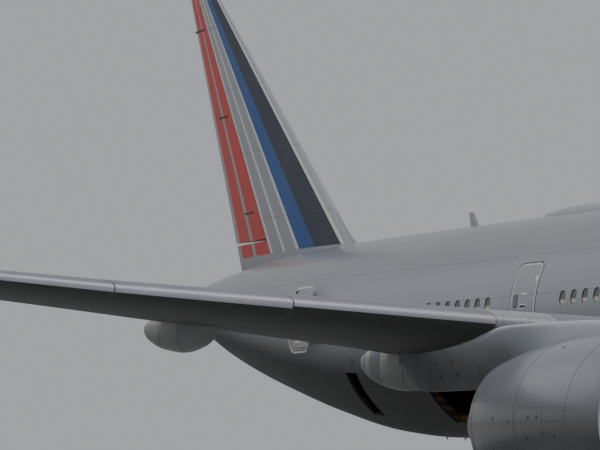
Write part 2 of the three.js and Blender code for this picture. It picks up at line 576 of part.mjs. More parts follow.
function mainGear(wingCut) {
  const g = MAIN_GEAR;
  const top = [g.side, g.top.station, g.top.height];
  const foot = [g.side, g.station, g.tyreRadius + g.beamRise];
  const share = (t) => top.map((value, axis) => foot[axis] + t * (value - foot[axis]));
  const shares = MAIN_LEG_SHARES;
  const knee = [g.side, g.station + MAIN_LINK.aft[1], MAIN_LINK.heights[1]];
  const leg = joined([
    bar(share(shares.outer), top, g.leg),
    bar(share(shares.piston[0]), share(shares.piston[1]), g.piston),
    gearBlock(g, MAIN_FORK),
    bar(share(shares.sideBrace), MAIN_SIDE_BRACE.end, MAIN_SIDE_BRACE.radius),
    bar(share(shares.dragBrace), MAIN_DRAG_BRACE.end, MAIN_DRAG_BRACE.radius),
    bar([g.side, g.station + MAIN_LINK.aft[0], MAIN_LINK.heights[0]], knee, MAIN_LINK.radius),
    bar(knee, share(shares.link), MAIN_LINK.radius),
  ]);
  const saddle = { ...MAIN_SADDLE, to: MAIN_SADDLE.to - FIT_GAP };
  const beam = joined([gearBlock(g, MAIN_BEAM, g.axlePitch), gearBlock(g, saddle)]);
  const axles = [-1, 0, 1].map((row) => g.station + row * g.axlePitch);
  const bores = axles.map((station) => axleBore(g, g.side, station));
  const bodyCut = body(20, 40, FIT_GAP).add(fairingLoft(FIT_GAP));
  pair('main_gear_leg', cut(leg, [wingCut, bodyCut]), 'steel');
  pair('main_gear_beam', cut(beam, bores), 'steel');
  ['front', 'middle', 'rear'].forEach((name, i) => {
    pair(`main_wheels_${name}`, wheelPair(g).translate([g.side, axles[i], g.tyreRadius]), 'tyre');
  });
  const { side, aft, heights } = MAIN_DOOR;
  const corner = (i) => at(g.side + side[i], g.top.station + aft[i], heights[i]);
  const arm = MAIN_DOOR_ARM;
  const [armStart, armEnd] = arm.side.map((reach) => (
    at(g.side + reach, g.top.station + arm.aft, arm.height)));
  const door = joined([block(corner(0), corner(1)), bar(armStart, armEnd, arm.radius)]);
  const legRoom = bar(share(shares.doorClear), top, g.leg + FIT_GAP);
  pair('main_gear_door', cut(door, [leg, wingCut, legRoom]), 'paint');
}

function noseGear() {
  const g = { ...NOSE_GEAR, side: 0 };
  const ceiling = AXIS + NOSE_WELL.ceiling;
  const brace = NOSE_DRAG_BRACE;
  const trunnionEnd = (sign) => [sign * NOSE_TRUNNION.half, g.station, NOSE_TRUNNION.height];
  const leg = joined([
    bar([0, g.station, g.steerHeight + FIT_GAP], [0, g.station, ceiling - FIT_GAP], g.leg),
    bar([0, g.station, brace.height], [0, g.station + brace.aft, ceiling - brace.below], brace.radius),
    bar(trunnionEnd(-1), trunnionEnd(1), NOSE_TRUNNION.radius),
  ]);
  const cutTop = block([-AXIS, 0, ceiling - FIT_GAP], [AXIS, 2 * NOSE_WELL.back, AXIS]);
  piece('nose_gear_leg', leg.subtract(cutTop), 'steel');
  const { half, reach } = NOSE_AXLE_BLOCK;
  const [upper, knee, lower] = NOSE_LINK.heights.map((height, i) => (
    [0, g.station - NOSE_LINK.ahead[i % 2], height]));
  const steered = joined([
    bar([0, g.station, g.tyreRadius], [0, g.station, g.steerHeight], g.piston),
    bar([0, g.station, g.steerHeight - g.collar], [0, g.station, g.steerHeight], g.leg),
    gearBlock(g, { half, reach, from: -half, to: half }),
    bar(upper, knee, NOSE_LINK.radius),
    bar(knee, lower, NOSE_LINK.radius),
  ]);
  piece('nose_gear_fork', steered.subtract(axleBore(g, 0, g.station)), 'steel');
  piece('nose_wheels', wheelPair(g).translate([0, g.station, g.tyreRadius]), 'tyre');
}

// A block of fuselage wall on the starboard side, between two angles below the horizontal.
function wallSector({ from, to, upper, lower, centre = 0 }, inner, outer, grow = 0) {
  const [a, b] = [upper, lower].map((angle) => THREE.MathUtils.degToRad(angle));
  const edge = (angle, radius, shift) => [-radius * Math.cos(angle) - shift * Math.sin(angle),
    AXIS + centre - radius * Math.sin(angle) + shift * Math.cos(angle)];
  const steps = 6;
  const shiftAt = (i) => [grow, ...Array(steps - 1).fill(0), -grow][i];
  const arc = (radius) => Array.from({ length: steps + 1 }, (_, i) => (
    edge(a + ((b - a) * i) / steps, radius, shiftAt(i))));
  const corners = [...arc(outer), ...arc(inner).reverse()];
  const shape = new THREE.Shape(corners.map((point) => new THREE.Vector2(...point)));
  const geometry = new THREE.ExtrudeGeometry(shape, { depth: to - from + 2 * grow, bevelEnabled: false });
  const turn = new THREE.Matrix4().makeBasis(
    new THREE.Vector3(1, 0, 0), new THREE.Vector3(0, 0, 1), new THREE.Vector3(0, 1, 0));
  return fromGeometry(geometry.applyMatrix4(turn).translate(0, from - grow, 0));
}

function hingePoint({ upper, centre = 0 }, radius) {
  const angle = THREE.MathUtils.degToRad(upper);
  return [-radius * Math.cos(angle), AXIS + centre - radius * Math.sin(angle)];
}

const swing = (solid, [side, up], degrees) => solid
  .translate([-side, 0, -up]).rotate([0, degrees, 0]).translate([side, 0, up]);

// Cargo doors hang from a rod along their upper edge, between two knuckles on the wall.
function cargoDoor(name, door, shell) {
  const hinge = hingePoint(door, BODY_RADIUS);
  const rodBar = (from, to, radius) => bar(at(hinge[0], from, hinge[1]), at(hinge[0], to, hinge[1]), radius);
  const outside = BODY_RADIUS + PAST_SKIN;
  const opening = wallSector(door, BODY_RADIUS - door.thickness - DOOR_RECESS, outside, DOOR_GAP);
  const panel = joined([
    shell.intersect(wallSector(door, BODY_RADIUS - door.thickness, outside)),
    rodBar(door.from, door.to, HINGE_ROD),
  ]);
  const clearRod = rodBar(door.from - 2 * FIT_GAP, door.to + 2 * FIT_GAP, HINGE_ROD + RUNNING_GAP);
  const knuckles = joined([
    rodBar(door.from - KNUCKLE, door.from - FIT_GAP, HINGE_ROD),
    rodBar(door.to + FIT_GAP, door.to + KNUCKLE, HINGE_ROD),
  ]);
  piece(name, swing(panel, hinge, door.open), 'paint');
  return { opening: opening.add(clearRod), knuckles };
}

function bulkDoor(shell) {
  const door = BULK_DOOR;
  const inner = door.radius - SKIN;
  const [from, to] = [door.from - door.flange, door.to + door.flange];
  const hinge = hingePoint({ ...door, upper: door.upper - door.hingeUpper }, inner - door.flange);
  const rod = (start, end) => bar(at(hinge[0], start, hinge[1]), at(hinge[0], end, hinge[1]), HINGE_ROD);
  const outside = inner - door.flangeGap;
  const flange = wallSector({ ...door, from, to, upper: door.upper - door.flangeUpper },
    outside - door.flangeDepth, outside);
  const panel = joined([shell.intersect(flange), rod(from, to)]);
  const lugs = joined([from - door.lug, to + FIT_GAP].map((start) => {
    const end = start + door.lug - FIT_GAP;
    const root = block([hinge[0] - door.lugReach, start, hinge[1] - HINGE_ROD],
      [hinge[0], end, hinge[1] + HINGE_ROD]);
    return rod(start, end).add(root);
  }));
  piece('cargo_door_bulk', swing(panel, hinge, -door.open), 'paint');
  return { opening: wallSector(door, inner - PAST_SKIN, BODY_RADIUS + PAST_SKIN), lugs };
}

function buildFuselage() {
  const inside = (from, to) => body(from, to, -SKIN);
  const farSide = -BODY_RADIUS - PAST_SKIN;
  const leaf = NOSE_WELL_DOOR;
  const well = block([-NOSE_WELL.half, NOSE_WELL.front, leaf.heights[0]],
    [NOSE_WELL.half, NOSE_WELL.back, AXIS + NOSE_WELL.ceiling]);
  const wellDoors = [-1, 1].map((sign) => block(
    [sign * leaf.side - leaf.half, leaf.front, leaf.heights[0]],
    [sign * leaf.side + leaf.half, leaf.back, leaf.heights[1]]));
  piece('fuselage_nose', joined([body(0, NOSE_JOIN), ...wellDoors]).subtract(well), 'paint');

  const forwardShell = body(NOSE_JOIN + FIT_GAP, AFT_JOIN);
  const forwardDoor = cargoDoor('cargo_door_forward', CARGO_DOORS.cargo_door_forward, forwardShell);
  piece('fuselage_centre', forwardShell.subtract(forwardDoor.opening).add(forwardDoor.knuckles), 'paint');

  const aftShell = body(AFT_JOIN + FIT_GAP, TAIL_JOIN);
  const aftDoor = cargoDoor('cargo_door_aft', CARGO_DOORS.cargo_door_aft, aftShell);
  const bulk = bulkDoor(aftShell);
  const hold = inside(AFT_JOIN, TAIL_JOIN).intersect(block(
    [farSide, HOLD.front, AXIS + HOLD.floor], [-HOLD.inner, HOLD.back, AXIS + HOLD.ceiling]));
  const bulkHold = inside(AFT_JOIN, TAIL_JOIN).intersect(block(
    [farSide, BULK_HOLD.front, AXIS + BULK_HOLD.floor],
    [-BULK_HOLD.inner, BULK_HOLD.back, AXIS + BULK_HOLD.ceiling]));
  const doorwayBox = block([farSide, DOORWAY.front, AXIS + DOORWAY.floor],
    [-BODY_RADIUS + DOORWAY.depth, DOORWAY.back, AXIS + DOORWAY.ceiling]);
  const aftHole = wallSector(CARGO_DOORS.cargo_door_aft, BODY_RADIUS - PAST_SKIN, BODY_RADIUS + PAST_SKIN,
    DOOR_GAP);
  const aft = cut(aftShell, [hold, bulkHold, doorwayBox, aftDoor.opening, aftHole, bulk.opening]);
  const lugs = bulk.lugs.intersect(body(AFT_JOIN, TAIL_JOIN, -SKIN / 2));
  piece('fuselage_aft', joined([aft, aftDoor.knuckles, lugs]), 'paint');

  const m = OPEN_DOOR.margin;
  const doorBox = block([farSide, DOORWAY.front + m, AXIS + DOORWAY.floor + m],
    [-BODY_RADIUS + DOORWAY.depth, DOORWAY.back - m, AXIS + DOORWAY.ceiling - m]);
  const doorPanel = body(DOORWAY.front, DOORWAY.back).intersect(doorBox)
    .subtract(body(DOORWAY.front - 1, DOORWAY.back + 1, -OPEN_DOOR.thickness))
    .translate([-OPEN_DOOR.out, -OPEN_DOOR.forward, 0]);
  const armUp = AXIS + DOOR_ARM.up;
  const [root, elbow, tip] = DOOR_ARM.points.map(([side, aft]) => at(side, DOORWAY.front + aft, armUp));
  const arm = joined([bar(root, elbow, DOOR_ARM.radius), bar(elbow, tip, DOOR_ARM.radius)]);
  const doorAndArm = joined([doorPanel, arm]).subtract(body(AFT_JOIN, DOORWAY.front, FIT_GAP));
  const seat = DOOR_ARM_SEAT;
  const armSeat = block([seat.side[0], DOORWAY.front + FIT_GAP, armUp - seat.half],
    [seat.side[1], DOORWAY.front + seat.depth, armUp + seat.half]);
  piece('passenger_door_aft', doorAndArm.add(armSeat), 'paint');

  piece('fuselage_tail', body(TAIL_JOIN + FIT_GAP, BODY_SECTIONS.at(-1).station), 'paint');
}

function buildTail() {
  const bodyCut = body(45, BODY_SECTIONS.at(-1).station, FIT_GAP);
  const finRows = FIN_SECTIONS.map((row) => ({ ...row, leadUp: -AXIS, trailUp: -AXIS }));
  const wholeFin = lifting(finRows);
  const upright = (solid) => solid.rotate([0, -90, 0]).translate([0, 0, AXIS]);
  const rudder = movable(finRows, RUDDER);
  piece('rudder', upright(wholeFin.intersect(rudder.piece).add(rudder.pin)).subtract(bodyCut), 'finPaint');
  piece('fin', upright(wholeFin.subtract(rudder.pocket)).subtract(bodyCut), 'finPaint');

  const wholeStabiliser = lifting(STABILISER_SECTIONS).subtract(bodyCut);
  const elevator = movable(STABILISER_SECTIONS, ELEVATOR);
  pair('elevator', wholeStabiliser.intersect(elevator.piece).add(elevator.pin), 'paint');
  pair('stabiliser', wholeStabiliser.subtract(elevator.pocket), 'paint');
}

function crownRadome() {
  const { station, length, half, rise, sunk, sides, bluntEnd } = CROWN_RADOME;
  const rings = CROWN_RADOME_STEPS.map((share) => {
    const size = Math.sqrt(Math.max(bluntEnd, 1 - share * share));
    return Array.from({ length: sides }, (_, i) => {
      const angle = (2 * Math.PI * i) / sides;
      return at(half * size * Math.cos(angle), station + (share * length) / 2,
        AXIS + BODY_RADIUS - sunk + (rise + sunk) * size * Math.sin(angle));
    });
  });
  piece('crown_radome', loft(rings).subtract(body(10, 40, FIT_GAP)), 'radome');
}

const wingCut = buildWings();
piece('wing_body_fairing', fairingLoft(0).subtract(body(10, 45, FIT_GAP)), 'paint');
for (const spec of TRACK_FAIRINGS) {
  pair(`flap_track_fairing_${spec.name}`, trackFairing(spec, wingCut), 'paint');
}
buildEngines(wingCut);
mainGear(wingCut);
noseGear();
buildFuselage();
buildTail();
crownRadome();

const airliner = new THREE.Group();
for (const [name, { solid, material }] of pieces) {
  const mesh = solid.getMesh();
  const geometry = new THREE.BufferGeometry();
  geometry.setAttribute('position', new THREE.BufferAttribute(new Float32Array(mesh.vertProperties), 3));
  geometry.setIndex(new THREE.BufferAttribute(new Uint32Array(mesh.triVerts), 1));
  geometry.translate(0, -LENGTH / 2, 0).scale(MILLIMETRES, MILLIMETRES, MILLIMETRES);
  const part = new THREE.Mesh(geometry, new THREE.MeshStandardMaterial(MATERIALS[material]));
  part.name = name;
  airliner.add(part);
}

export default airliner;
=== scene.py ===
import math
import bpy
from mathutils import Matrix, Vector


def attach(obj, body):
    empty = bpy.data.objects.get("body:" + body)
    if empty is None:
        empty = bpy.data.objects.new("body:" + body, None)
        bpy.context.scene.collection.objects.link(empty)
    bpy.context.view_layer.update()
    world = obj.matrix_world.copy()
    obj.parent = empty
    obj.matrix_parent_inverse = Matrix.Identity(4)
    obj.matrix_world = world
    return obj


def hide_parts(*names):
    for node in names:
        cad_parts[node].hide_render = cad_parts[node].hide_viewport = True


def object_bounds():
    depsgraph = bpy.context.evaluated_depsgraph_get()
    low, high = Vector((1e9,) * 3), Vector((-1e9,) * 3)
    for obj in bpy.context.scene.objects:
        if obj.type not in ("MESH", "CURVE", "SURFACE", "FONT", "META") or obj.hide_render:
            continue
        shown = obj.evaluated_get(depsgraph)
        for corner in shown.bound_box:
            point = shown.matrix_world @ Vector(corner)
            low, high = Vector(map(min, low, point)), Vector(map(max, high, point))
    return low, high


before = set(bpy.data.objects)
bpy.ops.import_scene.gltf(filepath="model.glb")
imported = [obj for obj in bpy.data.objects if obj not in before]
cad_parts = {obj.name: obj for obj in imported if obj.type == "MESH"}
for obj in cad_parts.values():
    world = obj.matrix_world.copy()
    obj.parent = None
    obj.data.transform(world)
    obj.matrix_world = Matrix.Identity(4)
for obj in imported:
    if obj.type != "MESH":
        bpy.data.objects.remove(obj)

from types import SimpleNamespace as Sizes

import bmesh
import bpy
import numpy as np
from bpy.props import FloatProperty, FloatVectorProperty, IntProperty, PointerProperty
from mathutils import Matrix, Vector

bl_info = {
    "name": "Parked Wide Body Airliner",
    "version": (1, 0, 0),
    "blender": (4, 5, 0),
    "location": "View3D > Sidebar > Airliner",
    "description": "Skins, running gear, small parts and paint of a half size wide body airliner",
    "category": "Add Mesh",
}

# The frame is a 1:2 model. Shapes below are in metres of the full-size aircraft:
# side to port, station aft from the nose, and height above the ground.
MODEL_SCALE = 0.5
CAD_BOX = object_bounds()
LENGTH = (CAD_BOX[1][1] - CAD_BOX[0][1]) / MODEL_SCALE
AXIS = 5.8                     # height of the fuselage's axis above the ground
BODY_RADIUS = 3.1
SKIN = 0.12                    # from the skin to the lining of a hold
TRIM_SINK = 0.004              # how far bands and plates reach into the skin that they lie on


def circle(count):
    """Angles in even steps once round."""
    return np.linspace(0, 2 * math.pi, count, endpoint=False)


def squared(values, power):
    """Cosines or sines drawn out, so that the ring they make is squarer than a circle."""
    return np.sign(values) * abs(values) ** power


def flip(side):
    """What carries port side points to a side: 1 is port, -1 starboard."""
    return np.array([side, 1, 1])


class Profile:
    """Sizes along the aircraft, joined by smooth curves that never overshoot a row."""

    def __init__(self, columns, rows):
        table = np.array(rows, float)
        self.at = table[:, 0]
        self.columns = {name: table[:, i + 1] for i, name in enumerate(columns)}
        self.slopes = {name: self._slopes(values) for name, values in self.columns.items()}

    def _slopes(self, values):
        """The slope at each row, which is level at the peaks."""
        run = np.diff(self.at)
        rise = np.diff(values) / run
        slopes = np.zeros(len(values))
        for i in range(1, len(values) - 1):
            before, after = rise[i - 1], rise[i]
            if before * after > 0:
                w1, w2 = 2 * run[i] + run[i - 1], run[i] + 2 * run[i - 1]
                slopes[i] = (w1 + w2) / (w1 / before + w2 / after)
        slopes[0], slopes[-1] = rise[0], rise[-1]
        return slopes

    def __call__(self, name, where):
        where = np.asarray(where, float)
        i = np.clip(np.searchsorted(self.at, where, side="right") - 1, 0, len(self.at) - 2)
        run = self.at[i + 1] - self.at[i]
        t = np.clip((where - self.at[i]) / run, 0, 1)
        a, b = self.columns[name][i], self.columns[name][i + 1]
        sa, sb = self.slopes[name][i] * run, self.slopes[name][i + 1] * run
        return ((2 * t**3 - 3 * t**2 + 1) * a + (t**3 - 2 * t**2 + t) * sa
                + (3 * t**2 - 2 * t**3) * b + (t**3 - t**2) * sb)


class Blank:
    """Points and faces of one piece, gathered before they become a mesh."""

    def __init__(self):
        self.points = []
        self.faces = []
        self.paints = []

    def add(self, points):
        """Adds points and gives back their numbers, in the shape they came in."""
        points = np.asarray(points, float)
        flat = points.reshape(-1, 3)
        start = len(self.points)
        self.points.extend(map(tuple, flat))
        return np.arange(start, start + len(flat)).reshape(points.shape[:-1])

    def face(self, corners, paint=0):
        """Adds one face over points that are there already."""
        self.faces.append(tuple(int(c) for c in corners))
        self.paints.append(paint)

    def grid(self, points, paint=0, round_rows=False, round_columns=False, keep=None):
        """A net of four-sided faces over rows of points; the paint can be chosen for each face."""
        numbers = self.add(points)
        rows, columns = numbers.shape
        for i in range(rows if round_columns else rows - 1):
            for j in range(columns if round_rows else columns - 1):
                if keep is None or keep(i, j):
                    k, m = (i + 1) % rows, (j + 1) % columns
                    chosen = paint(i, j) if callable(paint) else paint
                    self.face((numbers[i, j], numbers[i, m], numbers[k, m], numbers[k, j]), chosen)
        return numbers

    def fan(self, rim, paint=0, hub=None):
        """Closes a round rim with a hub, which is at its middle if no other point is given."""
        middle = np.mean([self.points[int(r)] for r in rim], axis=0) if hub is None else hub
        hub = int(self.add([middle])[0])
        for a, b in zip(rim, np.roll(rim, -1)):
            self.face((a, b, hub), paint)

    def loft(self, rings, paint=0):
        """A closed skin over rings of points, with an end at either side."""
        numbers = self.grid(np.asarray(rings, float), paint, round_rows=True)
        end_paint = paint(0, 0) if callable(paint) else paint
        for end in (numbers[0], numbers[-1]):
            self.fan(end, end_paint)

    def bar(self, start, end, radius, end_radius=None, sides=24, paint=0, rim=0.12):
        """A round bar with softened ends."""
        start, end = np.array(start, float), np.array(end, float)
        end_radius = radius if end_radius is None else end_radius
        along = end - start
        length = np.linalg.norm(along)
        along /= length
        aside = np.cross(along, [0, 0, 1] if abs(along[2]) < 0.9 else [1, 0, 0])
        aside /= np.linalg.norm(aside)
        third = np.cross(along, aside)
        angles = circle(sides)
        ring = np.outer(np.cos(angles), aside) + np.outer(np.sin(angles), third)
        soft = min(rim * min(radius, end_radius), 0.2 * length)
        steps = [(0, radius - soft), (soft, radius), (length - soft, end_radius), (length, end_radius - soft)]
        self.loft([start + along * way + ring * r for way, r in steps], paint)

    def axle(self, middle, reach, radius, sides=24, paint=0):
        """A round bar that lies across the aircraft."""
        middle = np.array(middle, float)
        self.bar(middle - [reach, 0, 0], middle + [reach, 0, 0], radius, sides=sides, paint=paint)

    def hose(self, route, radius, sides=8, paint=0):
        """A bent round line through a few points."""
        path = curve_through(route, 6)
        headings = np.gradient(path, axis=0)
        angles = circle(sides)
        rings = []
        aside = np.cross(headings[0], [0.3, 0.5, 0.8])
        for point, along in zip(path, headings):
            along = along / np.linalg.norm(along)
            aside = aside - along * aside.dot(along)
            aside = aside / np.linalg.norm(aside)
            third = np.cross(along, aside)
            rings.append(point + radius * (np.outer(np.cos(angles), aside) + np.outer(np.sin(angles), third)))
        self.loft(rings, paint)

    def block(self, low, high, soft=0.02, paint=0):
        """A block with chamfered edges."""
        low, high = np.minimum(low, high).astype(float), np.maximum(low, high).astype(float)
        middle, half = (low + high) / 2, (high - low) / 2
        soft = min(soft, 0.45 * float(half.min()))
        square = [(1, 1), (-1, 1), (-1, -1), (1, -1)]

        def ring(inset, up):
            x, y = half[0] - inset, half[1] - inset
            corners = []
            for i, (a, b) in enumerate(square):
                pair = ((x, y - soft), (x - soft, y))[::1 if i % 2 == 0 else -1]
                corners += [(a * across, b * along, up) for across, along in pair]
            return np.array(corners)

        high = half[2]
        rings = [ring(soft, -high), ring(0, soft - high), ring(0, high - soft), ring(soft, high)]
        self.loft(np.array(rings) + middle, paint)

    def turned(self, outline, centre, axis="station", sides=64, paint=0, closed=False):
        """A round skin about a line; the outline is [along, radius] pairs."""
        outline = np.asarray(outline, float)
        angles = circle(sides)
        along, radius = outline[:, :1], np.maximum(outline[:, 1:2], 1e-4)
        across, up = radius * np.cos(angles), radius * np.sin(angles)
        along = np.broadcast_to(along, across.shape)
        axes = {"station": (across, along, up), "side": (along, across, up), "up": (across, up, along)}[axis]
        points = np.stack(axes, -1) + np.array(centre, float)
        return self.grid(points, paint, round_rows=True, round_columns=closed)

    def mirrored(self):
        """The same piece on the other side of the aircraft."""
        other = Blank()
        other.points = [(-x, y, z) for x, y, z in self.points]
        other.faces = [face[::-1] for face in self.faces]
        other.paints = list(self.paints)
        return other

    def spun(self, centre, axis, degrees):
        """The same piece turned about a line."""
        turn = np.array(Matrix.Rotation(math.radians(degrees), 3, Vector(axis)))
        other = Blank()
        moved = (np.array(self.points) - centre) @ turn.T + centre
        other.points = list(map(tuple, moved))
        other.faces, other.paints = list(self.faces), list(self.paints)
        return other

    def join(self, other):
        """Adds everything of another blank."""
        start = len(self.points)
        self.points.extend(other.points)
        self.faces.extend(tuple(c + start for c in face) for face in other.faces)
        self.paints.extend(other.paints)

    def make(self, name, finishes, body, slot, replaces=(), sharp=32, weld=2e-4):
        """Turns what was gathered into a Blender object that rides on a body of the frame."""
        points = np.array(self.points, float)
        points[:, 1] -= LENGTH / 2
        mesh = bpy.data.meshes.new(name)
        mesh.from_pydata((points * MODEL_SCALE).tolist(), [], self.faces)
        mesh.polygons.foreach_set("material_index", self.paints)
        for finish in finishes:
            mesh.materials.append(bpy.data.materials[finish])
        net = bmesh.new()
        net.from_mesh(mesh)
        if weld:
            bmesh.ops.remove_doubles(net, verts=net.verts, dist=weld * MODEL_SCALE)
        bmesh.ops.dissolve_degenerate(net, edges=net.edges, dist=1e-6)
        loose = [v for v in net.verts if not v.link_faces]
        bmesh.ops.delete(net, geom=loose, context="VERTS")
        bmesh.ops.recalc_face_normals(net, faces=net.faces)
        net.to_mesh(mesh)
        net.free()
        mesh.shade_smooth()
        mesh.set_sharp_from_angle(angle=math.radians(sharp))
        piece = bpy.data.objects.new(name, mesh)
        bpy.context.scene.collection.objects.link(piece)
        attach(piece, body)
        if replaces:
            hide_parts(*replaces)
        return piece


def curve_through(points, steps, closed=False):
    """A smooth line through points, which keeps to their order and passes each of them."""
    points = np.asarray(points, float)
    count = len(points)
    line = []
    last = count if closed else count - 1
    for i in range(last):
        before = points[(i - 1) % count] if closed or i else 2 * points[0] - points[1]
        a, b = points[i], points[(i + 1) % count]
        after = points[(i + 2) % count] if closed or i + 2 < count else 2 * b - a
        knots = np.cumsum([0] + [max(np.linalg.norm(q - p), 1e-6) ** 0.5
                                 for p, q in ((before, a), (a, b), (b, after))])
        for t in np.linspace(knots[1], knots[2], steps, endpoint=False):
            p, q, r = [((knots[k + 1] - t) * s + (t - knots[k]) * e) / (knots[k + 1] - knots[k])
                       for k, (s, e) in enumerate(((before, a), (a, b), (b, after)))]
            u = ((knots[2] - t) * p + (t - knots[0]) * q) / (knots[2] - knots[0])
            v = ((knots[3] - t) * q + (t - knots[1]) * r) / (knots[3] - knots[1])
            line.append(((knots[2] - t) * u + (t - knots[1]) * v) / (knots[2] - knots[1]))
    if not closed:
        line.append(points[-1])
    return np.array(line)


def rounded(low, high, radius, steps=5):
    """A rectangle with round corners, as a loop of [u, v] points."""
    radius = min(radius, 0.499 * (high[0] - low[0]), 0.499 * (high[1] - low[1]))
    loop = []
    corners = ((high[0], high[1], 0), (low[0], high[1], 90), (low[0], low[1], 180), (high[0], low[1], 270))
    for u, v, first in corners:
        middle = (u - math.copysign(radius, u - low[0] - 1e-9), v - math.copysign(radius, v - low[1] - 1e-9))
        for step in range(steps + 1):
            angle = math.radians(first + 90 * step / steps)
            loop.append((middle[0] + radius * math.cos(angle), middle[1] + radius * math.sin(angle)))
    return np.array(loop)


def pad(u, v, half_u, half_v, corner):
    """A rectangle with round corners about a middle."""
    return rounded((u - half_u, v - half_v), (u + half_u, v + half_v), corner)


def shrunk(loop, share):
    """A loop drawn in towards its middle, to a share of its size."""
    middle = loop.mean(axis=0)
    return middle + (loop - middle) * share


def stretched(loop, longest):
    """The same line with more points, so that it follows a curved skin."""
    line = []
    for a, b in zip(loop, np.roll(loop, -1, axis=0)):
        count = max(1, int(np.ceil(np.linalg.norm(b - a) / longest)))
        line += [a + (b - a) * i / count for i in range(count)]
    return np.array(line)


def band(blank, skin, line, width, lift, paint=0, closed=True):
    """A thin strip that lies on a skin along a line of [u, v] points."""
    line = np.asarray(line, float)
    if closed:
        along = np.roll(line, -1, axis=0) - np.roll(line, 1, axis=0)
    else:
        along = np.gradient(line, axis=0)
    along /= np.maximum(np.linalg.norm(along, axis=1, keepdims=True), 1e-9)
    aside = np.stack([-along[:, 1], along[:, 0]], 1) * width / 2
    rails = [(aside, -TRIM_SINK), (aside, lift), (-aside, lift), (-aside, -TRIM_SINK)]
    points = np.stack([skin(*(line + shift).T, high) for shift, high in rails], 1)
    blank.grid(points, paint, round_columns=closed)


def plate(blank, skin, loop, lift, paint=0, rings=3):
    """A thin flat plate that lies on a skin inside a loop of [u, v] points."""
    loop = np.asarray(loop, float)
    rows = [skin(*loop.T, high) for high in (-TRIM_SINK, lift)]
    for i in range(1, rings):
        rows.append(skin(*shrunk(loop, 1 - i / rings).T, lift))
    numbers = blank.grid(np.array(rows), paint, round_rows=True)
    blank.fan(numbers[-1], paint, skin(*loop.mean(axis=0), lift))


# Finishes

class Flow:
    """A value that runs through the nodes of a finish; sums on it add Math nodes."""

    def __init__(self, finish, socket):
        self.finish, self.socket = finish, socket

    def sum(self, operation, *others):
        return self.finish.math(operation, self, *others)

    def __add__(self, other):
        return self.sum("ADD", other)

    def __sub__(self, other):
        return self.sum("SUBTRACT", other)

    def __rsub__(self, other):
        return self.finish.math("SUBTRACT", other, self)

    def __mul__(self, other):
        return self.sum("MULTIPLY", other)

    def __truediv__(self, other):
        return self.sum("DIVIDE", other)

    def __mod__(self, other):
        return self.sum("FLOORED_MODULO", other)

    def __abs__(self):
        return self.sum("ABSOLUTE")

    __radd__, __rmul__ = __add__, __mul__

    def above(self, limit):
        return self.sum("GREATER_THAN", limit)

    def least(self, other):
        return self.sum("MINIMUM", other)

    def most(self, other):
        return self.sum("MAXIMUM", other)

    def floor(self):
        return self.sum("FLOOR")

    def eased(self, low, high):
        """0 below low, 1 above high, and a soft step between them."""
        settings = {"interpolation_type": "SMOOTHSTEP"}
        return self.finish.node("MapRange", settings, {"Value": self, "From Min": low, "From Max": high})

    def line(self, place, width):
        """1 on a thin line at a place along this value, with soft edges."""
        return 1 - abs(self - place).eased(0.5 * width, width)

    def lines(self, pitch, width, shift=0.0):
        """1 on thin lines that come at every pitch along this value."""
        return 1 - abs((self + (pitch / 2 - shift)) % pitch - pitch / 2).eased(0.5 * width, width)


class Finish:
    """A material: one principled shader and the nodes that lead to it."""

    def __init__(self, name, **constants):
        self.material = bpy.data.materials.new(name)
        self.material.use_nodes = True
        self.tree = self.material.node_tree
        self.shader = self.tree.nodes["Principled BSDF"]
        for socket, value in constants.items():
            self.shader.inputs[socket.replace("_", " ").title().replace("Ior", "IOR")].default_value = value

    def node(self, kind, settings, sockets, out=0):
        """Adds a node, sets it up, fills its sockets, and gives back one of its outputs."""
        node = self.tree.nodes.new("ShaderNode" + kind)
        for name, value in settings.items():
            setattr(node, name, value)
        for name, value in sockets.items():
            if isinstance(value, Flow):
                self.tree.links.new(value.socket, node.inputs[name])
            else:
                is_colour = node.inputs[name].type == "RGBA" and len(value) == 3
                node.inputs[name].default_value = (*value, 1) if is_colour else value
        return Flow(self, node.outputs[out])

    def math(self, operation, *values):
        return self.node("Math", {"operation": operation}, dict(enumerate(values)))

    def place(self):
        """Where a point is at rest, in metres of the full-size aircraft: side, station, height."""
        spot = self.node("TexCoord", {}, {}, "Object")
        side, along, up = [self.node("SeparateXYZ", {}, {0: spot}, i) for i in range(3)]
        return side / MODEL_SCALE, along / MODEL_SCALE + LENGTH / 2, up / MODEL_SCALE

    def facing_up(self):
        """1 where the surface faces straight up at rest, -1 where it faces straight down."""
        normal = self.node("TexCoord", {}, {}, "Normal")
        return self.node("SeparateXYZ", {}, {0: normal}, 2)

    def noise(self, scale, stretch=(1, 1, 1), detail=3.0):
        """Cloudy noise that stays with the surface, drawn out by a stretch."""
        spot = self.node("TexCoord", {}, {}, "Object")
        drawn = self.node("VectorMath", {"operation": "MULTIPLY"}, {0: spot, 1: stretch})
        return self.node("TexNoise", {}, {"Vector": drawn, "Scale": scale, "Detail": detail})

    def mix(self, share, first, second):
        """A colour between two others."""
        return self.node("Mix", {"data_type": "RGBA"}, {0: share, 6: first, 7: second}, 2)

    def feed(self, **flows):
        """Links flows, or sets plain values, on the shader."""
        for name, flow in flows.items():
            socket = self.shader.inputs[name.replace("_", " ").title()]
            if isinstance(flow, Flow):
                self.tree.links.new(flow.socket, socket)
            else:
                socket.default_value = (*flow, 1) if isinstance(flow, tuple) else flow
        return self

    def bump(self, height, depth):
        """Roughens the surface by a height in metres of the model."""
        bumped = self.node("Bump", {}, {"Height": height, "Distance": depth, "Strength": 1.0})
        return self.feed(normal=bumped)


def shade(colour, share):
    """A colour made darker or lighter."""
    return tuple(channel * share for channel in colour)


# Painted shade: the dark grey that stands in for the shade on everything that faces the ground.
PAINTED_UNDERSIDE_SHADE = (0.020, 0.020, 0.0205)


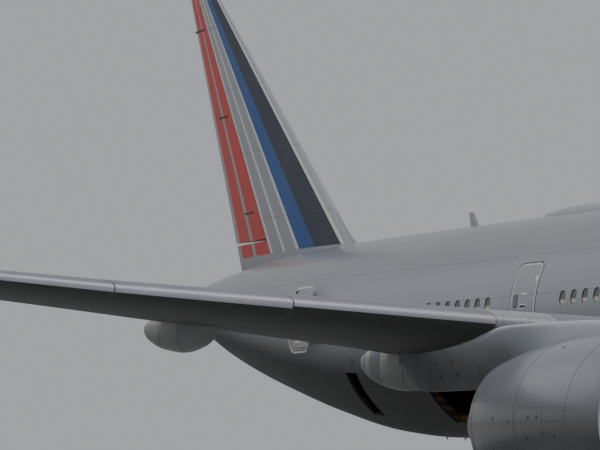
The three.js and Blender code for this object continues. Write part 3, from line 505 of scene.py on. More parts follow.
def body_silver(name, colour, roughness=0.30):
    """Silver-grey paint over skin panels, with lap joints, dirt that runs down the belly, and painted shade
    where the skin faces the ground.
    """
    finish = Finish(name, coat_roughness=0.12, specular_ior_level=0.3)
    side, station, up = finish.place()
    angle = finish.math("ARCTAN2", up - AXIS, side) * (180 / math.pi)
    ring_pitch, lap_pitch = 5.334, 22.5
    panel = finish.node("CombineXYZ", {}, {0: (station / ring_pitch).floor(), 1: (angle / lap_pitch).floor()})
    tone = finish.node("TexWhiteNoise", {}, {"Vector": panel})
    cloud = finish.noise(0.9)
    streak = finish.noise(5.0, (1.2, 6.0, 0.25))
    seam = station.lines(ring_pitch, 0.012).most(angle.lines(lap_pitch, 0.22, 11.25))
    low = 1 - finish.facing_up().eased(-0.50, 0.12)
    grime = (streak.eased(0.50, 0.72) * low * 0.30 + cloud.eased(0.45, 0.8) * 0.06).least(1.0)
    base = finish.mix(tone, shade(colour, 0.965), shade(colour, 1.02))
    # Painted shade: a dark grey where the skin faces the ground.
    base = finish.mix(low, base, PAINTED_UNDERSIDE_SHADE)
    base = finish.mix(grime, base, (0.07, 0.065, 0.055))
    base = finish.mix(seam * 0.42, base, shade(colour, 0.28))
    finish.feed(base_color=base, roughness=cloud * 0.10 + low * 0.30 + (roughness - 0.05),
                metallic=(1 - low) * 0.35, coat_weight=(1 - low) * 0.25)
    ripple = finish.noise(2.2, (0.5, 1.0, 0.5), 1.0)
    return finish.bump(ripple * 0.8 - seam * 0.25, 0.0035)


def plain_paint(name, colour, metallic=0.0, roughness=0.35, dirt=0.2, scale=6.0, coat=0.2, underside=0.0):
    """Sprayed paint on a smaller part, a little uneven and dusty, and with a share of painted shade where it
    faces the ground.
    """
    finish = Finish(name, coat_weight=coat, coat_roughness=0.15, metallic=metallic)
    cloud = finish.noise(scale)
    fine = finish.noise(scale * 9, detail=2.0)
    base = finish.mix(cloud.eased(0.3, 0.75), shade(colour, 0.92), shade(colour, 1.05))
    base = finish.mix(cloud.eased(0.5, 0.85) * dirt, base, (0.12, 0.11, 0.10))
    # Painted shade: a dark grey where the part faces the ground, as strong as the share asks.
    if underside:
        base = finish.mix((1 - finish.facing_up().eased(-0.30, 0.48)) * underside, base, PAINTED_UNDERSIDE_SHADE)
    finish.feed(base_color=base, roughness=fine * 0.06 + cloud * 0.10 + (roughness - 0.08))
    return finish.bump(fine * 0.2 + cloud, 0.0006)


def wing_paint(name, colour, underneath):
    """Grey wing skin with spanwise joints; the underside has rows of oval access panels."""
    finish = Finish(name, coat_weight=0.0 if underneath else 0.1, coat_roughness=0.3, metallic=0.1,
                    specular_ior_level=0.15 if underneath else 0.5)
    side, station, _ = finish.place()
    span = abs(side)
    sweep, narrowing = 0.686, 0.825
    chordwise = (station - span * sweep) * narrowing
    cloud = finish.noise(0.8)
    streak = finish.noise(4.0, (5.0, 0.5, 1.0))
    rib_pitch, joint_width = 2.9, 0.02
    joint = span.lines(rib_pitch, joint_width, 0.6)
    spars = (20.2, 24.2)
    if underneath:
        spars = (19.6, 22.6)
        hatch_pitch, hatch_row = 0.86, 21.15
        across = (span + 0.1) % hatch_pitch - hatch_pitch / 2
        behind = abs(chordwise - hatch_row)
        hatch = (across * across) / 0.055 + (behind * behind) / 0.10
        rim = abs(hatch - 1.0).eased(0.06, 0.16)
        joint = joint.most((1 - rim) * 0.8)
    for spar in spars:
        joint = joint.most(chordwise.line(spar, joint_width))
    grime = streak.eased(0.48, 0.75) * (0.35 if underneath else 0.22)
    base = finish.mix(cloud, shade(colour, 0.9), shade(colour, 1.08))
    base = finish.mix(grime, base, (0.05, 0.05, 0.05))
    base = finish.mix(joint * 0.55, base, shade(colour, 0.25))
    finish.feed(base_color=base, roughness=cloud * 0.12 + streak * 0.10 + (0.50 if underneath else 0.30))
    return finish.bump(cloud - joint * 0.4, 0.002)


# Bands across the fin, from its leading edge to its trailing edge, and their colours' names.
FIN_BANDS = [
    (0.000, "silver"), (0.035, "white"), (0.055, "navy"), (0.235, "blue"), (0.370, "white"),
    (0.395, "pale"), (0.500, "white"), (0.525, "pale"), (0.625, "white"), (0.650, "red"),
    (0.800, "pale"), (0.835, "red"), (0.960, "pale"),
]


def banded_fin_paint(name, colours):
    """Gloss paint in long bands that run up the fin and narrow with it, and a red foot line."""
    finish = Finish(name, coat_weight=0.08, coat_roughness=0.2, specular_ior_level=0.3)
    _, station, up = finish.place()
    rise = up - (AXIS + FIN.low("span"))
    lead = rise * FIN.slope("lead") + FIN.low("lead")
    trail = rise * FIN.slope("trail") + FIN.low("trail")
    across = (station - lead) / (trail - lead)
    cloud = finish.noise(1.4)
    base = colours[FIN_BANDS[0][1]]
    for start, colour_name in FIN_BANDS[1:]:
        base = finish.mix(across.eased(start - 0.002, start + 0.002), base, colours[colour_name])
    pale_foot, red_foot, edge = 1.30, 1.02, 0.02
    foot = (1 - rise.eased(pale_foot, pale_foot + edge)) * across.above(FIN_BANDS[1][0])
    base = finish.mix(foot, base, colours["pale"])
    slanted = rise + across * 0.35
    base = finish.mix(foot * (1 - slanted.eased(red_foot, red_foot + edge)), base, colours["red"])
    seam = up.lines(2.35, 0.014, 0.7) * 0.5
    base = finish.mix(seam, base, (0.05, 0.05, 0.06))
    base = finish.mix(cloud.eased(0.35, 0.8) * 0.05, base, (0.3, 0.3, 0.3))
    finish.feed(base_color=base, roughness=cloud * 0.14 + 0.34)
    return finish.bump(cloud - seam * 0.3, 0.002)


def pylon_paint(name, low, high):
    """Grey paint with painted light and shade: painted shade behind, under the wing, and painted light that
    turns it pale towards the top and the front.
    """
    finish = Finish(name, specular_ior_level=0.25)
    _, station, up = finish.place()
    rise = up - AXIS
    # Painted light: paler towards the top and the front.
    painted_light_share = rise.eased(-2.0, -0.90) * (1 - station.eased(26.6, 29.4)) + (1 - station.eased(23.4, 26.0)) * 0.35
    cloud = finish.noise(2.0)
    base = finish.mix(painted_light_share.least(1.0), low, high)
    # Painted shade: darker behind, under the wing.
    base = finish.mix(station.eased(28.0, 30.0) * 0.6, base, shade(low, 0.2))
    base = finish.mix(cloud.eased(0.45, 0.8) * 0.25, base, (0.05, 0.05, 0.048))
    finish.feed(base_color=base, roughness=cloud * 0.1 + 0.42)
    return finish.bump(cloud, 0.0006)


def bare_alloy(name, colour, roughness, stretch=(1, 1, 1)):
    """Polished or blasted alloy with a fine grain and dull patches."""
    finish = Finish(name, metallic=1.0)
    grain = finish.noise(28.0, stretch)
    patch = finish.noise(2.2)
    base = finish.mix(patch.eased(0.35, 0.75), shade(colour, 0.86), colour)
    finish.feed(base_color=base, roughness=grain * 0.14 + patch * 0.12 + (roughness - 0.13))
    return finish.bump(grain, 0.0004)


def slat_metal(name, colour):
    """Bare slat metal, darkened by painted shade where it faces up, and darker near the body."""
    finish = Finish(name, metallic=0.9)
    side, _, _ = finish.place()
    grain = finish.noise(28.0, (0.2, 1, 1))
    patch = finish.noise(2.2)
    dull = finish.facing_up().eased(0.05, 0.60)
    base = finish.mix(patch.eased(0.35, 0.75), shade(colour, 0.92), colour)
    # Painted shade: darker where the slat faces up.
    base = finish.mix(dull * 0.55, base, shade(colour, 0.25))
    base = finish.mix((1 - abs(side).eased(8.0, 17.0)) * 0.4, base, shade(colour, 0.35))
    finish.feed(base_color=base, roughness=grain * 0.10 + patch * 0.10 + 0.42)
    return finish.bump(grain, 0.0004)


def heated_alloy(name, colour):
    """Nozzle alloy, browner and bluer towards its hot end."""
    finish = Finish(name, metallic=1.0)
    _, station, _ = finish.place()
    heat = station.eased(25.6, 28.3)
    patch = finish.noise(5.0, (1, 0.4, 1))
    soot = finish.noise(12.0, (1, 0.2, 1)).eased(0.4, 0.7)
    base = finish.mix(heat, colour, (0.16, 0.12, 0.10))
    base = finish.mix(patch.eased(0.45, 0.7) * 0.45, base, (0.20, 0.19, 0.24))
    base = finish.mix(soot * 0.4, base, (0.05, 0.045, 0.04))
    finish.feed(base_color=base, roughness=patch * 0.2 + 0.28)
    return finish.bump(soot + station.lines(0.42, 0.012) * 0.6, 0.001)


def rubber(name, colour):
    """Tyre rubber: dusty shoulders and a fine crazed skin."""
    finish = Finish(name, specular_ior_level=0.3)
    dust = finish.noise(7.0)
    skin = finish.noise(60.0, detail=4.0)
    base = finish.mix(dust.eased(0.4, 0.75) * 0.5, colour, (0.09, 0.083, 0.075))
    finish.feed(base_color=base, roughness=skin * 0.15 + 0.72)
    return finish.bump(skin, 0.0008)


def dark_glass(name, colour):
    """Dark glazing with a slight smear."""
    finish = Finish(name, coat_weight=0.6, coat_roughness=0.04, specular_ior_level=0.6)
    smear = finish.noise(9.0, (1, 1, 3))
    base = finish.mix(smear, shade(colour, 0.7), shade(colour, 1.5))
    return finish.feed(base_color=base, roughness=smear * 0.10 + 0.03)


def cabin_pane(name, colour):
    """A dark cabin window with a painted reflection of the bright horizon across its lower part."""
    finish = Finish(name, coat_weight=0.15, coat_roughness=0.05)
    _, _, up = finish.place()
    smear = finish.noise(9.0, (1, 1, 3))
    low = 1 - (up - (AXIS + WINDOW_HEIGHT)).eased(-0.09, -0.03)
    base = finish.mix(smear, shade(colour, 0.7), shade(colour, 1.4))
    # Painted reflection: pale and warm across the lower part of the pane.
    base = finish.mix(low * 0.9, base, (0.44, 0.40, 0.31))
    return finish.feed(base_color=base, roughness=smear * 0.10 + 0.08)


def lamp(name, colour):
    """Coloured lamp glass with a faint glow."""
    finish = Finish(name, coat_weight=0.5, emission_strength=0.25)
    facet = finish.noise(30.0)
    base = finish.mix(facet, shade(colour, 0.7), colour)
    return finish.feed(base_color=base, emission_color=base, roughness=facet * 0.1 + 0.08)


def liner(name, colour):
    """Drilled sound lining inside an engine inlet: fine round holes in rows, darkened by painted shade."""
    finish = Finish(name, metallic=0.2)
    spot = finish.node("TexCoord", {}, {}, "Object")
    drilled = finish.node("TexVoronoi", {"feature": "F1"}, {"Scale": 46.0, "Randomness": 0.0, "Vector": spot})
    hole = 1 - drilled.eased(0.22, 0.34)
    cloud = finish.noise(3.0)
    base = finish.mix(cloud, shade(colour, 0.9), colour)
    # Painted shade inside the holes.
    base = finish.mix(hole * 0.5, base, shade(colour, 0.3))
    finish.feed(base_color=base, roughness=cloud * 0.1 + 0.4)
    return finish.bump(1 - hole, 0.001)


def pierced_frame(name, colour):
    """Primed door frame with pockets one above the other, darkened by painted shade."""
    finish = Finish(name)
    _, _, up = finish.place()
    cloud = finish.noise(8.0)
    pocket = up.lines(0.26, 0.09) * 0.75
    base = finish.mix(cloud, shade(colour, 0.6), shade(colour, 1.3))
    # Painted shade in the pockets.
    base = finish.mix(pocket, base, shade(colour, 0.12))
    return finish.feed(base_color=base, roughness=cloud * 0.1 + 0.5)


def studio_floor(name, colour):
    """Pale matt floor."""
    finish = Finish(name)
    cloud = finish.noise(0.05, detail=2.0)
    base = finish.mix(cloud, shade(colour, 0.985), colour)
    return finish.feed(base_color=base, roughness=cloud * 0.05 + 0.85)


def mix_finishes(paints):
    """Makes every finish of the aircraft and its floor, from the chosen colours."""
    silver, grey, nacelle = tuple(paints.silver), tuple(paints.undersides_grey_and_shade), tuple(paints.nacelle)
    white = tuple(paints.white)
    body_silver("body_silver", silver)
    body_silver("fairing_silver", shade(silver, 0.97), roughness=0.36)
    plain_paint("door_silver", silver, metallic=0.4, roughness=0.3, dirt=0.1)
    # Nacelles: their lower halves are darkened by painted shade and a painted reflection of the dark ground.
    plain_paint("nacelle_grey", nacelle, metallic=0.1, roughness=0.27, dirt=0.08, scale=1.2, coat=0.25,
                underside=0.92)
    # Pylons: a dark and a pale copy of the nacelle grey, for painted shade and painted light.
    pylon_paint("pylon_grey", shade(nacelle, 0.40), shade(nacelle, 1.9))
    # Track fairings: painted shade on their undersides and, under the wing, on their fronts.
    plain_paint("canoe_grey", shade(nacelle, 0.72), roughness=0.45, scale=1.5, coat=0.0, underside=0.8)
    plain_paint("canoe_belly", shade(grey, 2.6), roughness=0.5, scale=1.5, coat=0.0)
    plain_paint("canoe_pale", (0.34, 0.34, 0.31), roughness=0.45, scale=1.5, coat=0.0, underside=0.75)
    plain_paint("seam_soft", shade(nacelle, 0.36), roughness=0.5, coat=0.0)
    wing_paint("wing_top", silver, False)
    # Wing undersides: a dark grey that is partly their real grey paint and partly painted shade.
    wing_paint("wing_belly", grey, True)
    names = {name for _, name in FIN_BANDS}
    banded_fin_paint("fin_bands", {name: tuple(getattr(paints, name)) for name in names})
    plain_paint("marking_white", white, dirt=0.1)
    plain_paint("marking_black", (0.02, 0.02, 0.022), roughness=0.5)
    # Dark paint of joints and seams, also used as painted shade inside the windows' reveals.
    plain_paint("seam_dark", (0.035, 0.035, 0.04), roughness=0.6, coat=0.0)
    plain_paint("gear_grey", (0.46, 0.48, 0.49), roughness=0.4, dirt=0.5, scale=9.0)
    plain_paint("tail_grey", shade(silver, 0.92), metallic=0.3, roughness=0.33, dirt=0.15, scale=1.5)
    # Tail undersides: darker grey, partly their own paint and partly painted shade.
    plain_paint("tail_belly", shade(grey, 1.8), metallic=0.1, roughness=0.5, dirt=0.3, scale=1.5, coat=0.0)
    plain_paint("core_grey", (0.20, 0.20, 0.205), metallic=0.4, roughness=0.45, dirt=0.4, scale=5.0)
    plain_paint("spinner_grey", (0.05, 0.05, 0.055), roughness=0.35, scale=5.0)
    pierced_frame("hold_brown", (0.13, 0.076, 0.046))
    # Near black for the holds, the nose gear's well, the lips of reveals, the tail's pipe and the engines'
    # ducts: painted shade.
    plain_paint("hold_dark", (0.022, 0.020, 0.020), roughness=0.8, coat=0.0)
    plain_paint("cabin_cream", (0.42, 0.40, 0.36), roughness=0.5)
    plain_paint("radome_grey", shade(silver, 1.04), roughness=0.42, dirt=0.12)
    bare_alloy("bright_alloy", (0.80, 0.81, 0.83), 0.24, (0.2, 1, 1))
    slat_metal("slat_alloy", (0.53, 0.53, 0.59))
    bare_alloy("steel", (0.56, 0.57, 0.58), 0.34)
    bare_alloy("chrome", (0.82, 0.83, 0.84), 0.14)
    heated_alloy("nozzle_alloy", (0.34, 0.31, 0.28))
    plain_paint("blade_black", (0.028, 0.028, 0.032), metallic=0.5, roughness=0.34, scale=4.0)
    liner("inlet_liner", (0.30, 0.31, 0.32))
    rubber("tyre_black", (0.018, 0.018, 0.019))
    dark_glass("window_dark", (0.018, 0.021, 0.027))
    cabin_pane("cabin_pane", (0.05, 0.052, 0.055))
    lamp("lamp_clear", (0.85, 0.87, 0.88))
    lamp("lamp_red", (0.62, 0.02, 0.015))
    lamp("lamp_green", (0.02, 0.42, 0.12))
    studio_floor("studio_floor", tuple(paints.floor))


# Fuselage

# Stations with the heights of crown and belly above the axis, and the half width.
BODY = Profile(("top", "bottom", "half"), [
    (0.00, -0.68, -0.92, 0.12), (0.15, -0.30, -1.26, 0.50), (0.60, 0.08, -1.70, 0.98),
    (1.40, 0.58, -2.12, 1.52), (2.30, 1.06, -2.42, 1.94), (3.10, 1.66, -2.61, 2.22),
    (4.00, 2.18, -2.77, 2.46), (5.20, 2.58, -2.92, 2.70), (6.80, 2.86, -3.03, 2.91),
    (9.00, 3.06, -3.09, 3.06), (11.0, 3.10, -3.10, 3.10), (42.0, 3.10, -3.10, 3.10),
    (44.5, 3.10, -3.08, 3.10), (47.0, 3.10, -2.91, 3.06), (50.0, 3.08, -2.40, 2.93),
    (53.0, 3.00, -1.74, 2.62), (56.0, 2.84, -1.00, 2.14), (59.0, 2.58, -0.10, 1.48),
    (61.2, 2.32, 0.76, 0.86), (62.74, 2.10, 1.42, 0.30),
])
TAIL_END = 62.74
JOINS = (0.0, 9.0, 38.9, 51.0, TAIL_END)               # where the lengths of the skin meet
WINDOW_PITCH = 0.5334
WINDOW_START = 0.2267          # the first place of the row of windows, aft of the nose
WINDOW_HEIGHT = 0.45           # middle of the windows above the axis
WINDOW_ROWS = ((8.2, 15.6), (18.2, 34.5), (37.9, 47.9))
PLUGGED_WINDOWS = (40, 55)     # numbers of the places that have no window
PASSENGER_DOORS = (6.73, 16.87, 36.3, 49.445)
OPEN_DOORWAY = Sizes(front=48.87, back=50.02, floor=-0.42, ceiling=1.44, depth=1.3)
OPEN_DOOR = Sizes(forward=1.0, out=0.42, thickness=0.15, margin=0.03)
# Upper and lower edges are in degrees below level; open is the turn at rest, in degrees.
CARGO_DOORS = {
    "cargo_door_forward": Sizes(front=10.45, back=13.15, upper=22, lower=57, open=0),
    "cargo_door_aft": Sizes(front=39.50, back=42.15, upper=26, lower=60, open=150),
}
CARGO_DOOR_THICKNESS = 0.14
DOOR_GAP = 0.022
LINING_DEPTH = 0.19            # where the lining of the open passenger doorway starts behind the skin
BULK_DOOR = Sizes(front=45.90, back=46.60, upper=24.5, lower=55, radius=3.02, centre=0.07, open=62)
BULK_VENT = ((45.84, -0.96), (46.00, -0.77))
HOLD = Sizes(front=39.1, back=42.9, inner=0.2, floor=-2.86, ceiling=-0.62)
BULK_HOLD = Sizes(front=45.5, back=47.0, inner=0.9, floor=-2.7, ceiling=-0.55)
NOSE_WELL = Sizes(front=4.35, back=7.35, half=0.52, ceiling=-1.35)


def body_point(station, angle, lift=0.0):
    """A point on the fuselage skin; the angle in radians is 0 on the port side and 90 degrees on top."""
    top, bottom, half = (BODY(name, station) for name in ("top", "bottom", "half"))
    up = AXIS + (top + bottom) / 2 + ((top - bottom) / 2 + lift) * np.sin(angle)
    side = (half + lift) * np.cos(angle)
    return np.stack(np.broadcast_arrays(side, station, up), -1).astype(float)


def body_angle(station, height):
    """The port side angle at which the skin is at a height above the axis."""
    top, bottom = BODY("top", station), BODY("bottom", station)
    return np.arcsin(np.clip((height - (top + bottom) / 2) / ((top - bottom) / 2), -1, 1))


def angle_skin(side):
    """The skin of a side, 1 to port or -1 to starboard, as a function of station and angle."""
    return lambda station, angle, lift: body_point(station, angle, lift) * flip(side)


def side_skin(side):
    """The same as a function of station and height above the axis."""
    return lambda station, height, lift: angle_skin(side)(station, body_angle(station, height), lift)


def round_skin(side):
    """The same as a function of station and metres round it from level, up being positive."""
    return lambda station, arc, lift: angle_skin(side)(station, np.asarray(arc) / BODY_RADIUS, lift)


def window_places():
    """Stations of the cabin windows between the doors."""
    places = []
    for first, last in WINDOW_ROWS:
        low, high = ((end - WINDOW_START) / WINDOW_PITCH for end in (first, last))
        numbers = [n for n in range(math.ceil(low), int(high) + 1) if n not in PLUGGED_WINDOWS]
        places += [WINDOW_START + n * WINDOW_PITCH for n in numbers]
    return places


BASE_LINE = math.asin(WINDOW_HEIGHT / BODY_RADIUS)     # the angle of the windows' middles
WINDOW_LINES = math.radians(5.2)                       # from there to the lines above and below them
CABIN_ENDS = (6.0, 54.0)       # stations past which the lines no longer follow the windows
DOORWAY_REACH = 0.9            # how far from a doorway the lines begin to bend towards its edges
WELL_LINES = 3                 # lines that the nose gear's well takes from either side


def base_lines():
    """Angles of the lines that run along one side of the skin, three of them through the windows."""
    low = np.linspace(-math.pi / 2, BASE_LINE - WINDOW_LINES, 27)
    high = np.linspace(BASE_LINE + WINDOW_LINES, math.pi / 2, 23)
    return np.concatenate([low, [BASE_LINE], high])


LINES = base_lines()
WINDOW_ROW = 26


def cargo_cut(door):
    """The angles of a cargo doorway's edges, with the gap round the door."""
    gap = DOOR_GAP / BODY_RADIUS
    return (-math.radians(door.lower) - gap, -math.radians(door.upper) + gap)


def level(angle):
    """An edge of a doorway that keeps to one angle."""
    return lambda stations: np.full_like(stations, angle)


def openings(side):
    """Holes through the skin of one side: front, back, and functions for their lower and upper angles."""
    if side > 0:
        return []
    holes = []
    for door in CARGO_DOORS.values():
        low, high = cargo_cut(door)
        holes.append((door.front - DOOR_GAP, door.back + DOOR_GAP, level(low), level(high)))
    low, high = -math.radians(BULK_DOOR.lower), -math.radians(BULK_DOOR.upper)
    holes.append((BULK_DOOR.front, BULK_DOOR.back, level(low), level(high)))
    d = OPEN_DOORWAY
    holes.append((d.front, d.back, lambda s: body_angle(s, d.floor), lambda s: body_angle(s, d.ceiling)))
    return holes


def skin_stations(start, end):
    """Stations of the rings of the skin, with the edges of each doorway among them."""
    step = WINDOW_PITCH / 2
    fine = [WINDOW_START + n * step for n in range(int(start / step) - 2, int(end / step) + 2)]
    nose = list(np.linspace(0, 1, 13) ** 2 * 2.2) if start == 0 else []
    edges = {start, end}
    for side in (1, -1):
        for front, back, _, _ in openings(side):
            edges |= {front, back}
    edges |= {NOSE_WELL.front, NOSE_WELL.back}
    stations = set(nose) | {s for s in fine if start < s < end and s > (2.2 if start == 0 else 0)} | edges
    stations = sorted(s for s in stations if start <= s <= end)
    kept = [stations[0]]
    for station in stations[1:]:
        if station - kept[-1] < 0.03:
            if station in edges:
                kept[-1] = station
        else:
            kept.append(station)
    return np.array(kept)


def skin_lines(stations, side):
    """The angle of each line at each ring; lines bend to follow the windows and the doorways."""
    centre = body_angle(stations, WINDOW_HEIGHT)
    fade = (np.clip((stations - CABIN_ENDS[0]) / 2.0, 0, 1)
            * np.clip((CABIN_ENDS[1] - stations) / 4.0, 0, 1))
    shift = (centre - BASE_LINE) * fade / math.cos(BASE_LINE) ** 2
    lines = LINES[None, :] + shift[:, None] * np.cos(LINES[None, :]) ** 2
    for front, back, low, high in openings(side):
        reach = np.clip(1 - np.maximum(front - stations, stations - back) / DOORWAY_REACH, 0, 1)
        middle = np.argmin(abs(stations - (front + back) / 2))
        for edge in (low, high):
            target = edge(stations)
            nearest = int(np.argmin(abs(lines[middle] - target[middle])))
            lines[:, nearest] += reach * (target - lines[:, nearest])
    return lines


def window_cell(blank, skin, station, angle, rim, flat_rim, sizes):
    """Skin round one window, its reveal and its pane; the rim is the loop of skin points round it."""
    half_width, half_height = sizes.window_width / 2, sizes.window_height / 2
    loop = rounded((-half_width, -half_height), (half_width, half_height), 0.46 * sizes.window_width, 4)

    def edge(share, depth):
        return skin(station + loop[:, 0] * share, angle + loop[:, 1] * share / BODY_RADIUS, -depth)

    rows = [edge(1.0, 0.0), edge(0.93, 0.012), edge(0.90, sizes.window_depth)]
    numbers = blank.add(rows[0])
    outer = blank.add(rim)
    inner_angles = np.arctan2(loop[:, 1], loop[:, 0]) % (2 * math.pi)
    outer_angles = np.arctan2(flat_rim[:, 1], flat_rim[:, 0]) % (2 * math.pi)
    inner_order, outer_order = np.argsort(inner_angles), np.argsort(outer_angles)
    a, b = inner_angles[inner_order], outer_angles[outer_order]
    i = j = 0
    while i < len(a) or j < len(b):
        p, q = int(numbers[inner_order[i % len(a)]]), int(outer[outer_order[j % len(b)]])
        next_a = a[i + 1] if i + 1 < len(a) else a[(i + 1) % len(a)] + 2 * math.pi
        next_b = b[j + 1] if j + 1 < len(b) else b[(j + 1) % len(b)] + 2 * math.pi
        if j >= len(b) or (i < len(a) and next_a <= next_b):
            blank.face((p, q, int(numbers[inner_order[(i + 1) % len(a)]])))
            i += 1
        else:
            blank.face((p, q, int(outer[outer_order[(j + 1) % len(b)]])))
            j += 1
    # The reveal takes paint 2, the dark seam paint: painted shade inside the window's recess.
    blank.grid(np.array(rows[:2]), 2, round_rows=True)
    ends = blank.grid(np.array(rows[1:]), 2, round_rows=True)[-1]
    blank.fan(ends, 1)


def barrel(start, end, sizes):
    """One length of the fuselage skin, with its windows, doorway edges and closed ends."""
    stations = skin_stations(start, end)
    blank = Blank()
    room = 0.26
    windows = [station for station in window_places() if start + room < station < end - room]
    for side in (1, -1):
        lines = skin_lines(stations, side)
        skin = angle_skin(side)
        skip = set()
        for front, back, low, high in openings(side):
            columns = [i for i, s in enumerate(stations[:-1])
                       if front - 1e-6 <= s and stations[i + 1] <= back + 1e-6]
            if columns:
                i = columns[0]
                edges = (edge(stations[i:i + 1])[0] for edge in (low, high))
                first, last = (int(np.argmin(abs(lines[i] - edge))) for edge in edges)
                skip |= {(i, j) for i in columns for j in range(first, last)}
        well = [i for i, s in enumerate(stations[:-1]) if NOSE_WELL.front - 1e-6 <= s < NOSE_WELL.back - 1e-6]
        skip |= {(i, j) for i in well for j in range(WELL_LINES)}
        places = []
        for station in windows:
            edges = (station - WINDOW_PITCH / 2, station + WINDOW_PITCH / 2)
            first, last = (int(np.argmin(abs(stations - edge))) for edge in edges)
            cells = {(i, j) for i in range(first, last) for j in (WINDOW_ROW, WINDOW_ROW + 1)}
            if not cells & skip:
                skip |= cells
                places.append((station, first, last))
        if well:
            for i in range(well[0], well[-1] + 2):
                edge = -math.acos(min(1.0, NOSE_WELL.half / BODY("half", stations[i])))
                lines[i, :WELL_LINES + 1] = np.linspace(-math.pi / 2, edge, WELL_LINES + 1)
        points = skin(stations[:, None], lines, 0.0)
        blank.grid(points, 0, keep=lambda i, j: (i, j) not in skip)
        for station, first, last in places:
            j0, j1, j2 = WINDOW_ROW, WINDOW_ROW + 1, WINDOW_ROW + 2
            around_cell = ([(i, j0) for i in range(first, last + 1)] + [(last, j1)]
                           + [(i, j2) for i in range(last, first - 1, -1)] + [(first, j1)])
            rim_points = np.array([points[i, j] for i, j in around_cell])
            middle = lines[(first + last) // 2, j1]
            flat = np.array([(stations[i] - station, (lines[i, j] - middle) * BODY_RADIUS)
                             for i, j in around_cell])
            window_cell(blank, skin, station, middle, rim_points, flat, sizes)
    rim = np.concatenate([LINES, math.pi - LINES[-2:0:-1]])
    if start == 0.0:
        blank.fan(blank.add(body_point(start, rim)))
    if end == TAIL_END:
        inner = body_point(end, rim, -0.05)
        # The pipe in the tail's end takes paint 3, near black: painted shade inside it.
        pipe = blank.grid(np.array([body_point(end, rim), inner, inner - [0, 0.5, 0]]), 3, round_rows=True)
        blank.fan(pipe[-1], 3)
    return blank


def reveal(blank, front, back, low, high, depth, paint, start=0.0):
    """The four edges of a starboard doorway, between two depths behind the skin."""
    skin = angle_skin(-1)
    stations = np.linspace(front, back, 9)
    edges = [(stations, angle(stations)) for angle in (low, high)]
    for station in (front, back):
        one = np.array([station])
        edges.append((station, np.linspace(low(one)[0], high(one)[0], 9)))
    for along, arcs in edges:
        blank.grid(np.array([skin(along, arcs, -start), skin(along, arcs, -depth)]), paint)


def hold_liner(blank, hold, hole, paints):
    """The walls, floor and ceiling of a hold behind its doorway."""
    front, back, bottom, top = hole
    stations = np.array(sorted({front, back} | set(np.linspace(hold.front, hold.back, 15))))
    low, high = body_angle(41.0, hold.floor + 0.02), body_angle(41.0, hold.ceiling)
    arcs = np.array(sorted({bottom, top} | set(np.linspace(low, high, 13))))

    def outside(i, j):
        station = (stations[i] + stations[i + 1]) / 2
        arc = (arcs[j] + arcs[j + 1]) / 2
        return not (front < station < back and bottom < arc < top)

    wall = angle_skin(-1)(stations[:, None], arcs[None, :], -SKIN)
    blank.grid(wall, paints[0], keep=outside)
    foot, head = (np.array([(-hold.inner, station, AXIS + up) for station in stations])
                  for up in (hold.floor, hold.ceiling))
    lines = (wall[:, 0], foot, head, wall[:, -1])
    for near, far, paint in zip(lines, lines[1:], (paints[1], paints[0], paints[0])):
        blank.grid(np.array([near, far]), paint)
    for i in (0, -1):
        section = np.concatenate([wall[i], [head[i], foot[i]]])
        blank.fan(blank.add(section), paints[0])


